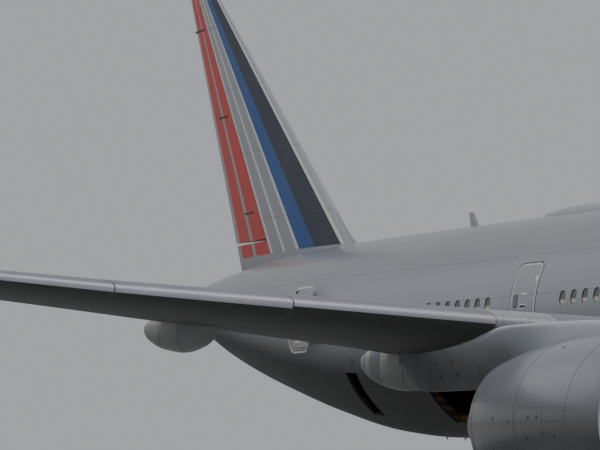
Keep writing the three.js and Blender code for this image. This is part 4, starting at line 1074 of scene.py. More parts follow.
class AIRLINER_OT_fuselage(bpy.types.Operator):
    """Skins of the nose, cabin, rear body and tail cone, with windows and doorways"""
    bl_idname = "airliner.fuselage"
    bl_label = "Fuselage skins"

    def execute(self, context):
        sizes = context.scene.airliner_sizes
        names = ("fuselage_nose", "fuselage_centre", "fuselage_aft", "fuselage_tail")
        insides = (self.nose_well, self.forward_doorway, self.rear_doorways, None)
        finishes = ("body_silver", "cabin_pane", "seam_dark", "hold_dark", "hold_brown", "cabin_cream",
                    "bright_alloy")
        for name, start, end, inside in zip(names, JOINS, JOINS[1:], insides):
            blank = barrel(start, end, sizes)
            if inside:
                inside(blank)
            blank.make(f"{name}_skin", finishes, "root", "body_paint", [name])
        self.fairing()
        return {"FINISHED"}

    def rear_doorways(self, blank):
        """Edges and linings of the two holds and of the open passenger doorway."""
        # The aft cargo doorway, the bulk one and the passenger one, in this order.
        lips, depths, paints = (0.06, 0.02, 0.0), (0.26, SKIN, 0.2), (4, 3, 5)
        # Each reveal begins with a near black lip: painted shade at the edge of the opening.
        for (front, back, low, high), lip, depth, paint in zip(openings(-1)[1:], lips, depths, paints):
            if lip:
                reveal(blank, front, back, low, high, lip, 3)
            reveal(blank, front, back, low, high, depth, paint, lip)
        door = CARGO_DOORS["cargo_door_aft"]
        # The holds' walls and ceilings are near black: painted shade inside them.
        hold_liner(blank, HOLD, (door.front - DOOR_GAP, door.back + DOOR_GAP, *cargo_cut(door)), (3, 4))
        edges = [-math.radians(BULK_DOOR.lower), -math.radians(BULK_DOOR.upper)]
        hold_liner(blank, BULK_HOLD, (BULK_DOOR.front, BULK_DOOR.back, *edges), (3, 4))
        d = OPEN_DOORWAY
        deep = -BODY_RADIUS + d.depth
        low, high = AXIS + d.floor, AXIS + d.ceiling
        stations, heights = np.linspace(d.front, d.back, 5), np.linspace(d.floor, d.ceiling, 7)
        edges = [np.broadcast_arrays(stations, up) for up in (low - AXIS, high - AXIS)]
        edges += [np.broadcast_arrays(station, heights) for station in (d.front, d.back)]
        for along, up in edges:
            back = np.stack([np.full(len(up), deep), along, AXIS + up], -1)
            blank.grid(np.array([side_skin(-1)(along, up, -LINING_DEPTH), back]), 5)
        blank.grid(np.array([[(deep, station, height) for station in stations] for height in (low, high)]), 5)
        blank.block((deep - 0.34, d.front + 0.10, low + 0.02), (deep - 0.02, d.back - 0.16, low + 1.75),
                    0.03, 6)
        plate(blank, side_skin(-1), rounded(*BULK_VENT, 0.078), 0.004, 2)

    def forward_doorway(self, blank):
        """The edges and the back of the recess that the shut forward cargo door lies in."""
        front, back, low, high = openings(-1)[0]
        depth = CARGO_DOOR_THICKNESS + 0.02
        # The reveal and the back of the recess are near black: painted shade round the shut door.
        reveal(blank, front, back, low, high, depth, 3)
        stations = np.linspace(front, back, 7)
        arcs = np.linspace(low(stations)[0], high(stations)[0], 9)
        blank.grid(angle_skin(-1)(stations[:, None], arcs[None, :], -depth), 3)

    def nose_well(self, blank):
        """Walls and ceiling of the nose gear's well, and its two doors on their rods."""
        well = NOSE_WELL
        high = AXIS + well.ceiling
        stations = np.linspace(well.front, well.back, 9)
        # Walls and ceiling take paint 3, near black: painted shade inside the well.
        for side in (1, -1):
            foot = angle_skin(side)(stations, -np.arccos(well.half / BODY("half", stations)), 0.0)
            head = [(point[0], station, high) for point, station in zip(foot, stations)]
            blank.grid(np.array([foot, head]), 3)
        blank.grid(np.array([[(side, s, high) for s in stations] for side in (-well.half, well.half)]), 3)
        sides = np.linspace(-well.half, well.half, 7)
        for station in (well.front, well.back):
            arcs = -np.arccos(np.clip(sides / BODY("half", station), -1, 1))
            head = [(side, station, high) for side in sides]
            blank.grid(np.array([body_point(station, arcs), head]), 3)
        for side in (1, -1):
            blank.block((side * 0.60, 5.0, 2.07), (side * 0.565, 6.6, 3.35), 0.012, 0)
            for station in (5.3, 6.3):
                blank.bar((side * 0.57, station, 2.95), (side * 0.40, station, 3.35), 0.03, sides=10, paint=6)

    def fairing(self):
        """The fairing between the wings and the body, with its panel joints, gear doors and intakes."""
        blank = Blank()
        ease = np.linspace(0, 1, 12)[:-1] ** 1.6 * 3.8
        stations = np.concatenate([16.8 + ease, np.linspace(20.6, 35.0, 40), 38.8 - ease[::-1]])
        blank.loft(fairing_point(stations[:, None], circle(96)[None, :]), 0)
        skin = fairing_belly
        for station in (21.6, 24.4, 28.9, 33.4, 35.8):
            half = float(FAIRING("half", station)) * 0.80
            line = [(x, station) for x in np.linspace(-half, half, 25)]
            band(blank, skin, line, 0.02, 0.003, 1, closed=False)
        for side in (1, -1):
            door = stretched(rounded((0.10, 29.3), (2.55, 33.2), 0.12), 0.3) * np.array([side, 1])
            band(blank, skin, door, 0.025, 0.003, 1)
            for front, back in ((21.9, 23.4), (25.0, 26.6)):
                intake = stretched(rounded((0.75, front), (1.25, back), 0.2), 0.2) * np.array([side, 1])
                plate(blank, skin, intake, 0.004, 1)
        blank.make("wing_body_fairing_skin", ("fairing_silver", "seam_dark"), "root", "body_paint",
                   ["wing_body_fairing"], sharp=50)


# Stations with the half width, and the heights of top and bottom above the axis.
FAIRING = Profile(("half", "top", "bottom"), [
    (16.8, 1.40, -2.30, -3.02), (18.6, 2.75, -1.90, -3.34), (20.6, 3.30, -1.20, -3.62),
    (24.0, 3.55, -0.85, -3.78), (31.0, 3.60, -0.90, -3.80), (34.6, 3.45, -1.30, -3.64),
    (37.0, 2.90, -1.90, -3.34), (38.8, 1.50, -2.40, -3.00),
])
FAIRING_SQUARENESS = 2.8


def fairing_point(station, angle, lift=0.0):
    """A point on the fairing; the angle in radians is 0 on the port side and 90 degrees on top."""
    half, top, bottom = (FAIRING(name, station) for name in ("half", "top", "bottom"))
    power = 2 / FAIRING_SQUARENESS
    side = (half + lift) * squared(np.cos(angle), power)
    up = AXIS + (top + bottom) / 2 + ((top - bottom) / 2 + lift) * squared(np.sin(angle), power)
    return np.stack(np.broadcast_arrays(side, station, up), -1).astype(float)


def fairing_belly(side, station, lift):
    """A point on the belly of the fairing from its side and station."""
    share = np.clip(abs(side) / FAIRING("half", station), 0, 1)
    cosine = np.sign(side) * share ** (FAIRING_SQUARENESS / 2)
    return fairing_point(station, -np.arccos(cosine), lift)


# Doors, windscreen and marks on the fuselage

def door_loop(station, half, floor, ceiling, corner):
    """The outline of a passenger door as a loop of stations and heights."""
    return stretched(rounded((station - half, floor), (station + half, ceiling), corner), 0.12)


def door_outline(blank, skin, station, sizes):
    """The painted frame of a passenger door, its seam, small pane, handle and sill."""
    d = OPEN_DOORWAY
    half = (d.back - d.front) / 2
    frame_line = door_loop(station, half + 0.005, d.floor - 0.005, d.ceiling + 0.005, 0.20)
    band(blank, skin, frame_line, sizes.door_frame, 0.004, 0)
    seam_line = door_loop(station, half + 0.05, d.floor - 0.05, d.ceiling + 0.05, 0.22)
    band(blank, skin, seam_line, 0.026, 0.004, 1)
    pane = (station + 0.37, 0.45)
    plate(blank, skin, pad(*pane, 0.08, 0.16, 0.07), 0.006, 2)
    band(blank, skin, pad(*pane, 0.09, 0.17, 0.08), 0.014, 0.008, 1)
    plate(blank, skin, rounded((station - 0.17, 0.60), (station + 0.13, 0.67), 0.02), 0.006, 0)
    plate(blank, skin, rounded((station - 0.19, 0.24), (station + 0.15, 0.36), 0.05), 0.006, 3)
    plate(blank, skin, rounded((station - 0.16, 0.265), (station + 0.12, 0.335), 0.03), 0.012, 1)
    sill = rounded((station - half, d.floor - 0.13), (station + half, d.floor - 0.08), 0.02)
    plate(blank, skin, sill, 0.008, 3)
    for up in (d.floor + 0.25, 0.95):
        hinge = rounded((station - half + 0.05, up), (station - half + 0.13, up + 0.16), 0.02)
        plate(blank, skin, hinge, 0.007, 3)


def closed_pair(blank, outer, inner, paints):
    """A plate between two nets of points: its two faces and its four edges."""
    blank.grid(outer, paints[0])
    blank.grid(inner, paints[1])
    for edge in (np.s_[0], np.s_[-1], np.s_[:, 0], np.s_[:, -1]):
        blank.grid(np.array([outer[edge], inner[edge]]), paints[2])


class AIRLINER_OT_doors(bpy.types.Operator):
    """Passenger door frames, cargo doors and the open doors' own leaves"""
    bl_idname = "airliner.doors"
    bl_label = "Doors"

    def execute(self, context):
        sizes = context.scene.airliner_sizes
        frames = Blank()
        for side in (1, -1):
            for station in PASSENGER_DOORS:
                is_open = side < 0 and station == PASSENGER_DOORS[-1]
                if not is_open:
                    door_outline(frames, side_skin(side), station, sizes)
        d = OPEN_DOORWAY
        middle, half = (d.front + d.back) / 2, (d.back - d.front) / 2
        frame_line = door_loop(middle, half + 0.06, d.floor - 0.06, d.ceiling + 0.06, 0.22)
        band(frames, side_skin(-1), frame_line, sizes.door_frame, 0.004, 0)
        finishes = ("marking_white", "seam_dark", "window_dark", "bright_alloy")
        frames.make("passenger_door_frames", finishes, "root", "marking_paint", sharp=40)
        self.open_passenger_door()
        for name, door in CARGO_DOORS.items():
            self.cargo_door(name, door)
        self.bulk_door()
        return {"FINISHED"}

    def open_passenger_door(self):
        """The aft door leaf, moved out and forward, with its carrying arm and inner gear."""
        d, o = OPEN_DOORWAY, OPEN_DOOR
        blank = Blank()
        outside = side_skin(-1)
        loop = door_loop((d.front + d.back) / 2, (d.back - d.front) / 2 - o.margin, d.floor + o.margin,
                         d.ceiling - o.margin, 0.16)
        sides = ((-o.thickness, 0.05), (-o.thickness + 0.02, 0.02), (-0.02, 0.0), (0.0, 0.012))
        rows = [outside(*shrunk(loop, 1 - inset).T, lift) for lift, inset in sides]
        numbers = blank.grid(np.array(rows), lambda i, j: 4 if i == 0 else 0, round_rows=True)
        for rim, lift, paint in ((numbers[-1], 0.0, 0), (numbers[0], -o.thickness, 4)):
            first = [blank.points[int(r)] for r in rim]
            inner = [outside(*shrunk(loop, share).T, lift) for share in (0.66, 0.33)]
            inside = blank.grid(np.array([first, *inner]), paint, round_rows=True)
            blank.fan(inside[-1], paint, outside(*loop.mean(axis=0), lift))
        station = loop[:, 0].mean()
        plate(blank, outside, rounded((station - 0.10, 0.42), (station + 0.10, 0.70), 0.09), 0.006, 2)
        band(blank, outside, rounded((station - 0.12, 0.40), (station + 0.12, 0.72), 0.11), 0.03, 0.008, 3)
        plate(blank, outside, rounded((station - 0.16, 0.14), (station + 0.16, 0.24), 0.03), 0.006, 3)
        side = -BODY_RADIUS + o.thickness + 0.06
        blank.block((side, station - 0.38, AXIS + 0.95), (side + 0.10, station + 0.38, AXIS + 1.15), 0.03, 4)
        blank.block((side - 0.02, station - 0.42, AXIS - 0.28), (side + 0.13, station + 0.42, AXIS + 0.02),
                    0.05, 4)
        blank.points = list(map(tuple, np.array(blank.points) + [-o.out, -o.forward, 0]))
        up, front = AXIS + 0.5, d.front
        for height in (up - 0.05, up + 0.05):
            line = ((-2.66, 0.16), (-3.06, 0.10), (-3.36, -0.02), (-3.44, -0.34))
            blank.hose([(side, front + aft, height) for side, aft in line], 0.04, 12, 3)
        blank.bar((-3.40, front - 0.34, up - 0.16), (-3.40, front - 0.34, up + 0.16), 0.05, sides=16, paint=3)
        finishes = ("door_silver", "seam_dark", "window_dark", "bright_alloy", "cabin_cream")
        blank.make("passenger_door_aft_leaf", finishes, "root", "body_paint", ["passenger_door_aft"],
                   sharp=40)

    def cargo_door(self, name, door):
        """One lower deck door: outer skin, ribbed inner face, latches and its hinge rod."""
        blank = Blank()
        stations = np.linspace(door.front, door.back, 21)
        arcs = np.linspace(-math.radians(door.lower), -math.radians(door.upper), 17)
        skin = angle_skin(-1)
        deep = CARGO_DOOR_THICKNESS
        width = door.back - door.front
        middle = (door.front + door.back) / 2

        def shell(lift, inset):
            s = middle + (stations - stations.mean()) * (1 - inset)
            a = arcs.mean() + (arcs - arcs.mean()) * (1 - inset)
            return skin(s[:, None], a[None, :], lift)

        shells = shell(0.0, 0.002), shell(-deep, 0.01)
        closed_pair(blank, *shells, (0, 1, 3))
        for i in range(1, 6):
            station = door.front + width * i / 6
            foot, top = (skin(station, arcs[1:-1], -deep + way) for way in (0.005, -0.03))
            half = np.array([0, 0.05, 0])
            blank.grid(np.array([foot - half, top - half, top + half, foot + half]), 3)
        for angle in (arcs[4], arcs[8], arcs[12]):
            line = skin(stations[1:-1], np.full(19, angle), -deep - 0.02)
            blank.grid(np.array([line + [0, 0, 0.04], line - [0, 0, 0.04]]), 3)
        for i in range(4):
            station = door.front + 0.35 + i * (width - 0.7) / 3
            base = skin(station, arcs[0] + 0.028, -deep / 2 - 0.02)
            blank.block(base - [0.035, 0.06, 0.035], base + [0.035, 0.06, 0.035], 0.012, 2)
        hinge = skin(door.front, arcs[-1], 0.0)
        blank.bar(hinge, hinge + [0, width, 0], 0.014, sides=12, paint=2)
        low, high = BODY_RADIUS * arcs[0] + 0.16, BODY_RADIUS * arcs[-1] - 0.16
        flat = round_skin(-1)
        for station in np.linspace(door.front + 0.4, door.back - 0.4, 5):
            latch = rounded((station - 0.07, low - 0.06), (station + 0.07, low + 0.02), 0.02)
            plate(blank, flat, latch, 0.005, 2)
        plate(blank, flat, rounded((middle - 0.14, low + 0.35), (middle + 0.14, low + 0.47), 0.03), 0.005, 3)
        frame_line = stretched(rounded((door.front + 0.10, low - 0.05), (door.back - 0.10, high), 0.1), 0.2)
        band(blank, flat, frame_line, 0.012, 0.003, 3)
        finishes = ("door_silver" if door.open else "body_silver", "hold_brown", "bright_alloy", "seam_dark")
        turned_door = blank.spun(hinge, (0, 1, 0), door.open)
        turned_door.make(f"{name}_panel", finishes, name, "body_paint", [name], sharp=35)

    def bulk_door(self):
        """The small inward door, with a stiffened frame, tilted up in its hold."""
        door = BULK_DOOR
        blank = Blank()
        inner = door.radius - SKIN
        low, high = -math.radians(door.lower), -math.radians(door.upper - 1.6)
        stations = np.linspace(door.front - 0.06, door.back + 0.06, 9)
        arcs = np.linspace(low, high, 9)

        def arc(radius):
            side = -radius * np.cos(arcs[None, :])
            up = AXIS + door.centre + radius * np.sin(arcs[None, :])
            return np.stack(np.broadcast_arrays(side, stations[:, None], up), -1)

        outer, ribs = arc(inner - 0.015), arc(inner - 0.11)
        closed_pair(blank, outer, arc(inner - 0.08), (0, 1, 1))
        half = np.array([0, 0.03, 0])
        for foot, top in zip(outer[2:7:2], ribs[2:7:2]):
            blank.grid(np.array([foot - half, top - half, top + half, foot + half]), 1)
        angle = math.radians(door.upper - 1.4)
        reach = inner - 0.06
        hinge = np.array([-reach * math.cos(angle), 0, AXIS + door.centre - reach * math.sin(angle)])
        ends = [hinge + [0, station, 0] for station in (door.front - 0.06, door.back + 0.06)]
        blank.bar(*ends, 0.03, sides=16, paint=2)
        turned_door = blank.spun(hinge, (0, 1, 0), -door.open)
        finishes = ("body_silver", "hold_brown", "bright_alloy")
        turned_door.make("cargo_door_bulk_panel", finishes, "cargo_door_bulk", "body_paint",
                         ["cargo_door_bulk"], sharp=35)


# The windscreen panes of one side: corners as station and degrees up from level, going round.
WINDSCREEN = [
    [(1.98, 88.0), (2.05, 56.0), (3.06, 57.0), (3.12, 88.0)],
    [(2.12, 52.5), (2.52, 33.0), (3.42, 41.0), (3.12, 53.5)],
    [(2.64, 30.5), (3.16, 22.5), (3.96, 33.5), (3.56, 38.5)],
]
WIPER = [(1.90, 70), (2.40, 66), (2.90, 62)]           # a line of the same kind
NOSE_JOINT = 1.35              # the station at which the radome of the nose ends


def cornered(corners):
    """Extra points by each corner, so that the smooth line through them keeps its corners."""
    corners = np.array(corners)
    line = []
    for i, corner in enumerate(corners):
        before, after = corners[i - 1], corners[(i + 1) % len(corners)]
        for other, share in ((before, 0.10), (before, 0.04), (after, 0.04), (after, 0.10)):
            line.append(corner + (other - corner) * share)
    return line


class AIRLINER_OT_windscreen(bpy.types.Operator):
    """Cockpit panes with frames, wipers, probes and the nose's small sensors"""
    bl_idname = "airliner.windscreen"
    bl_label = "Windscreen"

    def execute(self, context):
        blank = Blank()
        for side in (1, -1):
            skin = round_skin(side)
            for corners in WINDSCREEN:
                flat = [(s, math.radians(a) * BODY_RADIUS) for s, a in corners]
                smooth = curve_through(cornered(flat), 4, closed=True)
                plate(blank, skin, smooth, 0.012, 0, rings=5)
                band(blank, skin, smooth, 0.05, 0.018, 1)
            line = [skin(s, math.radians(a) * BODY_RADIUS, 0.04) for s, a in WIPER]
            blank.hose(line, 0.012, 8, 2)
            blank.bar(line[0] - [0, 0.02, 0.02], line[0] + [0, 0.05, 0.03], 0.03, sides=12, paint=2)
            for station, angle in ((2.9, -12), (3.25, -12), (3.5, 8)):
                base = skin(station, math.radians(angle) * BODY_RADIUS, -0.02)
                out = base + [side * 0.13, 0, 0]
                blank.bar(base, out, 0.02, 0.014, 12, 3)
                blank.bar(out + [0, 0.05, 0], out - [0, 0.24, 0], 0.013, 0.008, 12, 3)
            base = skin(4.6, math.radians(-20) * BODY_RADIUS, -0.01)
            blank.bar(base, base + [side * 0.08, 0, -0.01], 0.05, 0.04, 14, 3)
            blank.block(base + [side * 0.06, 0.0, -0.04], base + [side * 0.075, 0.14, 0.02], 0.01, 3)
        ring = [(NOSE_JOINT, a) for a in np.linspace(-math.pi / 2, math.pi / 2, 40) * BODY_RADIUS]
        for side in (1, -1):
            band(blank, round_skin(side), ring, 0.014, 0.002, 1, closed=False)
        blank.make("windscreen_panes", ("window_dark", "seam_dark", "marking_black", "bright_alloy"), "root",
                   "window_glass", sharp=35)
        return {"FINISHED"}


# Wings and tail

def thickness_at(share):
    """Half the thickness of the common four digit section, at a share of the chord."""
    return 5 * (0.2969 * np.sqrt(share) - 0.126 * share - 0.3516 * share**2 + 0.2843 * share**3
                - 0.1036 * share**4)


TRAILING_EDGE = 0.012          # half the thickness that a trailing edge keeps


class Surface:
    """A lifting surface: its edges and thickness along its span; an upright one stands on the fuselage."""

    COLUMNS = ("span", "lead", "trail", "lead_up", "trail_up", "thick")

    def __init__(self, rows, upright=False):
        self.rows = np.array(rows, float)
        self.upright = upright

    def at(self, name, span):
        """A column of the table at a span."""
        return np.interp(span, self.rows[:, 0], self.rows[:, self.COLUMNS.index(name)])

    def low(self, name):
        """A column of the table at the root."""
        return float(self.rows[0, self.COLUMNS.index(name)])

    def slope(self, name):
        """How fast a column grows with span, next to the root."""
        column = self.rows[:, self.COLUMNS.index(name)]
        return float((column[1] - column[0]) / (self.rows[1, 0] - self.rows[0, 0]))

    def share(self, span, station):
        """How far along the chord a station is: 0 in front, 1 at the back."""
        lead, trail = self.at("lead", span), self.at("trail", span)
        return np.clip((station - lead) / (trail - lead), 0, 1)

    def half(self, span, station):
        """Half the thickness."""
        share = self.share(span, station)
        chord = self.at("trail", span) - self.at("lead", span)
        thick = thickness_at(share) * self.at("thick", span) * chord
        return np.maximum(thick, TRAILING_EDGE * np.minimum(1, share * 30))

    def place(self, span, station, off):
        """The point that is some way off the middle plane at a span and station."""
        span, station, off = np.broadcast_arrays(span, station, off)
        if self.upright:
            return np.stack([off, station, AXIS + span], -1).astype(float)
        share = self.share(span, station)
        rise = self.at("lead_up", span) + share * (self.at("trail_up", span) - self.at("lead_up", span))
        return np.stack([span, station, AXIS + rise + off], -1).astype(float)

    def skin(self, face):
        """One face as a function of span and station; face is 1 for the top, -1 for the underside."""
        return lambda span, station, lift: self.place(span, station, face * (self.half(span, station) + lift))


WING = Surface([
    (2.00, 20.17, 33.05, -1.72, -2.02, 0.140), (9.90, 25.60, 33.30, -0.84, -1.12, 0.115),
    (17.5, 30.82, 36.37, -0.10, -0.16, 0.105), (30.0, 39.40, 41.42, 1.33, 1.27, 0.095),
    (30.465, 40.15, 41.55, 1.38, 1.33, 0.080),
])
STABILISER = Surface([
    (0.20, 52.85, 59.76, 0.84, 0.84, 0.100), (10.45, 61.14, 63.62, 2.00, 2.00, 0.090),
    (10.765, 61.80, 63.73, 2.04, 2.04, 0.070),
])
FIN = Surface([
    (1.80, 49.75, 58.70, 0, 0, 0.105), (12.35, 61.15, 63.33, 0, 0, 0.095), (12.70, 61.95, 63.48, 0, 0, 0.070),
], upright=True)

# Movable surfaces: the ends of the front line, the largest turn of the hinged ones in degrees,
# and which ends are cut square to the line; the others run straight aft.
FLAPS = {
    "flap_inboard": ((3.70, 31.95), (8.94, 31.70), 0, (False, False)),
    "flaperon": ((9.12, 31.58), (10.56, 31.78), 31, (False, True)),
    "flap_outboard": ((10.84, 32.03), (22.72, 37.22), 0, (False, True)),
    "aileron": ((23.00, 37.52), (28.40, 39.86), 33, (True, True)),
}
ELEVATOR = ((2.34, 58.38), (10.10, 62.48), 30, (False, True))
RUDDER = ((3.64, 56.91), (12.20, 62.40), 27, (False, True))
# Slats: the spans of the two ends, the share of the chord, and the spans of the joints between.
SLATS = {
    "slat_inboard": (4.70, 9.10, 0.10, (6.9,)),
    "slat_outboard": (10.30, 28.90, 0.13, (14.07, 17.45, 20.9, 24.4, 26.7)),
}
HINGED_GAP, FIXED_GAP = 0.018, 0.006                   # clearances round surfaces that turn or stay


def along_line(start, stop):
    """The direction in plan of a front line."""
    return np.subtract(stop, start) / np.linalg.norm(np.subtract(stop, start))


def end_ways(movable):
    """The directions in plan in which the two ends of a movable surface run aft."""
    start, stop, _, square = movable
    along = along_line(start, stop)
    return [np.array([-along[1], along[0]]) if cut else np.array([0.0, 1.0]) for cut in square]


def end_rooms(surface, movable):
    """How far its neighbours stay from each end, measured along its front line."""
    start, stop, turn, square = movable
    along = along_line(start, stop)
    rooms = []
    for point, cut in zip((start, stop), square):
        slant = 0 if cut else abs(along[1] / along[0])
        corner = slant * float(surface.half(point[0], point[1])) * math.sin(math.radians(turn))
        rooms.append((HINGED_GAP if turn else FIXED_GAP) + corner)
    return rooms


def end_lean(surface, movable):
    """How far the end faces lean in plan, per metre of height, to stand square to a hinge that climbs."""
    start, stop, turn, _ = movable
    if not turn or surface.upright:
        return np.zeros(2)
    line = surface.place(*stop, 0.0) - surface.place(*start, 0.0)
    return -line[:2] * line[2] / (line[:2] @ line[:2])


def hollow_ends(surface, movable):
    """The spans between which the structure ahead of a hinged surface is hollow."""
    start, stop, _, square = movable
    sweep = (stop[1] - start[1]) / math.hypot(stop[0] - start[0], stop[1] - start[1])
    rooms = [room + 0.12 * float(surface.half(*point))
             for room, point in zip(end_rooms(surface, movable), (start, stop))]
    forward = float(surface.half(*stop)) * sweep if square[1] else 0.0
    return start[0] - rooms[0], stop[0] + rooms[1] + forward


def length_of(blank, surface, spans, front, back, paint, gap=0.0, hollow=0.0, steps=18, nose=True, wrap=0):
    """A closed length of a lifting surface; its back is hollow where a hinged nose turns in it.

    The hollow is drawn out along the stream by the number given, because a swept nose is cut at a slant.
    The paint of the top wraps round the nose for some rows of the underside."""
    rings = []
    for span in spans:
        start, stop = float(front(span)), float(back(span))
        edge = stop - (0 if hollow else gap)
        radius = float(surface.half(span, stop)) + gap
        if hollow:
            for _ in range(3):
                edge = stop - hollow * math.sqrt(max(radius**2 - float(surface.half(span, edge)) ** 2, 1e-6))
        way = np.linspace(0, 1, steps + 1)
        stations = start + (way**2 if nose else way) * (edge - start)
        half = surface.half(span, stations)
        ring = [surface.place(span, stations[::-1], half[::-1]),
                surface.place(span, stations[1 if nose else 0:], -half[1 if nose else 0:])]
        if hollow:
            limit = math.asin(min(1.0, float(half[-1]) / radius))
            turns = np.linspace(-limit, limit, 9)[1:-1]
            ring.append(surface.place(span, stop - hollow * radius * np.cos(turns), radius * np.sin(turns)))
        rings.append(np.concatenate(ring))
    blank.loft(rings, lambda i, j: paint[0] if j < steps + wrap else paint[1])


def panel_of(blank, surface, line, ways, leans, paint, count, nose=False):
    """The part of a lifting surface behind a front line, such as a flap; a hinged one has a round nose."""
    start, stop = (np.array(point, float) for point in line)
    rings, steps = [], 12
    breaks = [(row[0] - start[0]) / (stop[0] - start[0]) for row in surface.rows]
    shares = sorted(set(np.linspace(0, 1, count)) | {b for b in breaks if 0.01 < b < 0.99})
    for t in shares:
        point = start + t * (stop - start)
        away = (1 - t) * ways[0] + t * ways[1]
        near, far = 0.0, 9.0
        for _ in range(40):
            middle = (near + far) / 2
            inside = point[1] + middle * away[1] < surface.at("trail", point[0] + middle * away[0])
            near, far = (middle, far) if inside else (near, middle)
        way = np.linspace(0, 1, steps + 1) * near
        spans, stations = point[0] + way * away[0], point[1] + way * away[1]
        lean = (1 - t) * leans[0] + t * leans[1]
        centre = surface.place(point[0], point[1], 0.0)
        radius = float(surface.half(point[0], point[1]))

        def face(sign):
            flat = surface.place(spans, stations, sign * surface.half(spans, stations))
            rise = 0 * way if surface.upright else flat[:, 2] - centre[2]
            moved = spans + lean[0] * rise, stations + lean[1] * rise
            return surface.place(*moved, sign * surface.half(*moved))

        ring = [face(1)[::-1]]
        if nose:
            unit = away / np.linalg.norm(away)
            turns = np.radians(np.linspace(90, -90, 13))[1:-1]
            shift, off = -radius * np.cos(turns), radius * np.sin(turns)
            if surface.upright:
                ring.append(np.stack([off, centre[1] + shift * unit[1], centre[2] + shift * unit[0]], -1))
            else:
                across, along = shift * unit[0] + lean[0] * off, shift * unit[1] + lean[1] * off
                ring.append(centre + np.stack([across, along, off], -1))
        ring.append(face(-1))
        rings.append(np.concatenate(ring))
    blank.loft(rings, lambda i, j: paint[0] if j < steps else paint[1])


def fixed_part(blank, surface, movables, rear, slats, paint, spans):
    """The fixed structure round the movable surfaces: the box ahead of them and what lies between them."""
    lines = sorted(movables.values(), key=lambda m: m[0][0])
    edges = {float(surface.rows[0, 0]), float(surface.rows[-1, 0])}
    reaches = [hollow_ends(surface, m) if m[2] else (m[0][0] - 0.01, m[1][0] + 0.01) for m in lines]
    for reach in reaches:
        edges |= set(reach)
    for low, high, _, _ in slats.values():
        edges |= {low - 0.002, high + 0.002}
    edges = sorted(edges)
    rear_line = np.array(rear)

    def back(span):
        return np.interp(span, rear_line[:, 0], rear_line[:, 1])

    for low, high in zip(edges, edges[1:]):
        if high - low < 1e-4:
            continue
        middle = (low + high) / 2
        movable = next((m for m, reach in zip(lines, reaches) if reach[0] < middle < reach[1]), None)
        slat = next((s for s in slats.values() if s[0] - 0.003 < middle < s[1] + 0.003), None)
        inner = {low, high} | {float(s) for s in surface.rows[:, 0] if low < s < high}
        inner |= set(np.linspace(low, high, max(2, int((high - low) / spans) + 1)))

        def front(span, slat=slat):
            lead, trail = surface.at("lead", span), surface.at("trail", span)
            return lead + (slat[2] * (trail - lead) + FIXED_GAP if slat else 0)

        hinged = bool(movable and movable[2])
        gap, hollow, rear_edge = FIXED_GAP if movable else 0.0, 0.0, back
        if hinged:
            (near, first), (far, last) = movable[:2]
            slope = (last - first) / (far - near)
            gap, hollow = HINGED_GAP, math.hypot(1, slope)

            def rear_edge(span, near=near, first=first, slope=slope):
                return first + slope * (span - near)

        length_of(blank, surface, sorted(inner), front, rear_edge, paint, gap, hollow, nose=slat is None,
                  wrap=2 if slat is None else 0)
    stream = np.array([0.0, 1.0])
    root, tip = ((point, stream, 0.0, np.zeros(2)) for point in (rear[0], rear[-1]))
    near, far = ([(m[k], end_ways(m)[k], end_rooms(surface, m)[k], end_lean(surface, m)) for m in lines]
                 for k in (0, 1))
    for first, last in zip([root, *far], [*near, tip]):
        start, start_way, start_room, start_lean = first
        stop, stop_way, stop_room, stop_lean = last
        along = along_line(start, stop)
        line = (np.array(start) + along * start_room, np.array(stop) - along * stop_room)
        panel_of(blank, surface, line, (start_way, stop_way), (start_lean, stop_lean), paint, 4)


# Where the fixed structure ends behind, as spans and stations.
REARS = {
    "wing": [(2.00, 31.97)] + [p for m in FLAPS.values() for p in m[:2]] + [(30.465, 40.76)],
    "stabiliser": [(0.20, 57.25), *ELEVATOR[:2], (10.765, 62.83)],
    "fin": [(1.80, 55.73), *RUDDER[:2], (12.70, 62.72)],
}


def both_sides(blank, name, finishes, body, slot, replaced, **options):
    """Makes a piece on the port side and its mirror image to starboard."""
    for end, piece in (("left", blank), ("right", blank.mirrored())):
        rider = body if body == "root" else f"{body}_{end}"
        piece.make(f"{name}_{end}", finishes, rider, slot, [f"{node}_{end}" for node in replaced], **options)


def pins(blank, surface, movable):
    """The hinge pins at either end of a hinged surface."""
    ends = [surface.place(*point, 0.0) for point in movable[:2]]
    along = (ends[1] - ends[0]) / np.linalg.norm(ends[1] - ends[0])
    for end, sign in zip(ends, (-1, 1)):
        blank.bar(end - along * sign * 0.12, end + along * sign * 0.12, 0.035, sides=12, paint=3)


class AIRLINER_OT_wings(bpy.types.Operator):
    """Wing skins, flaps, ailerons, flaperons and slats"""
    bl_idname = "airliner.wings"
    bl_label = "Wings"

    def execute(self, context):
        finishes = ("wing_top", "wing_belly", "seam_dark", "slat_alloy")
        wing = Blank()
        fixed_part(wing, WING, FLAPS, REARS["wing"], SLATS, (0, 1), 0.8)
        both_sides(wing, "wing_skin", finishes, "root", "wing_paint", ["wing"], weld=0)
        for name, movable in FLAPS.items():
            blank = Blank()
            leans = [end_lean(WING, movable)] * 2
            hinged = bool(movable[2])
            panel_of(blank, WING, movable[:2], end_ways(movable), leans, (0, 1), 24, hinged)
            if hinged:
                pins(blank, WING, movable)
            body = name if hinged else "root"
            both_sides(blank, f"{name}_skin", finishes, body, "wing_paint", [name], weld=0)
        for name, (low, high, depth, joints) in SLATS.items():
            blank = Blank()
            stops = [low, *joints, high]
            for a, b in zip(stops, stops[1:]):
                spans = sorted({a + 0.012, b - 0.012} | set(np.linspace(a + 0.012, b - 0.012, 5))
                               | {s for s in WING.rows[:, 0] if a < s < b})
                length_of(blank, WING, spans, lambda s: WING.at("lead", s),
                          lambda s: WING.at("lead", s) + depth * (WING.at("trail", s) - WING.at("lead", s)),
                          (3, 1), steps=14, wrap=2 if b < 15 else 4)
            both_sides(blank, f"{name}_skin", finishes, "root", "bare_metal", [name], weld=0)
        return {"FINISHED"}


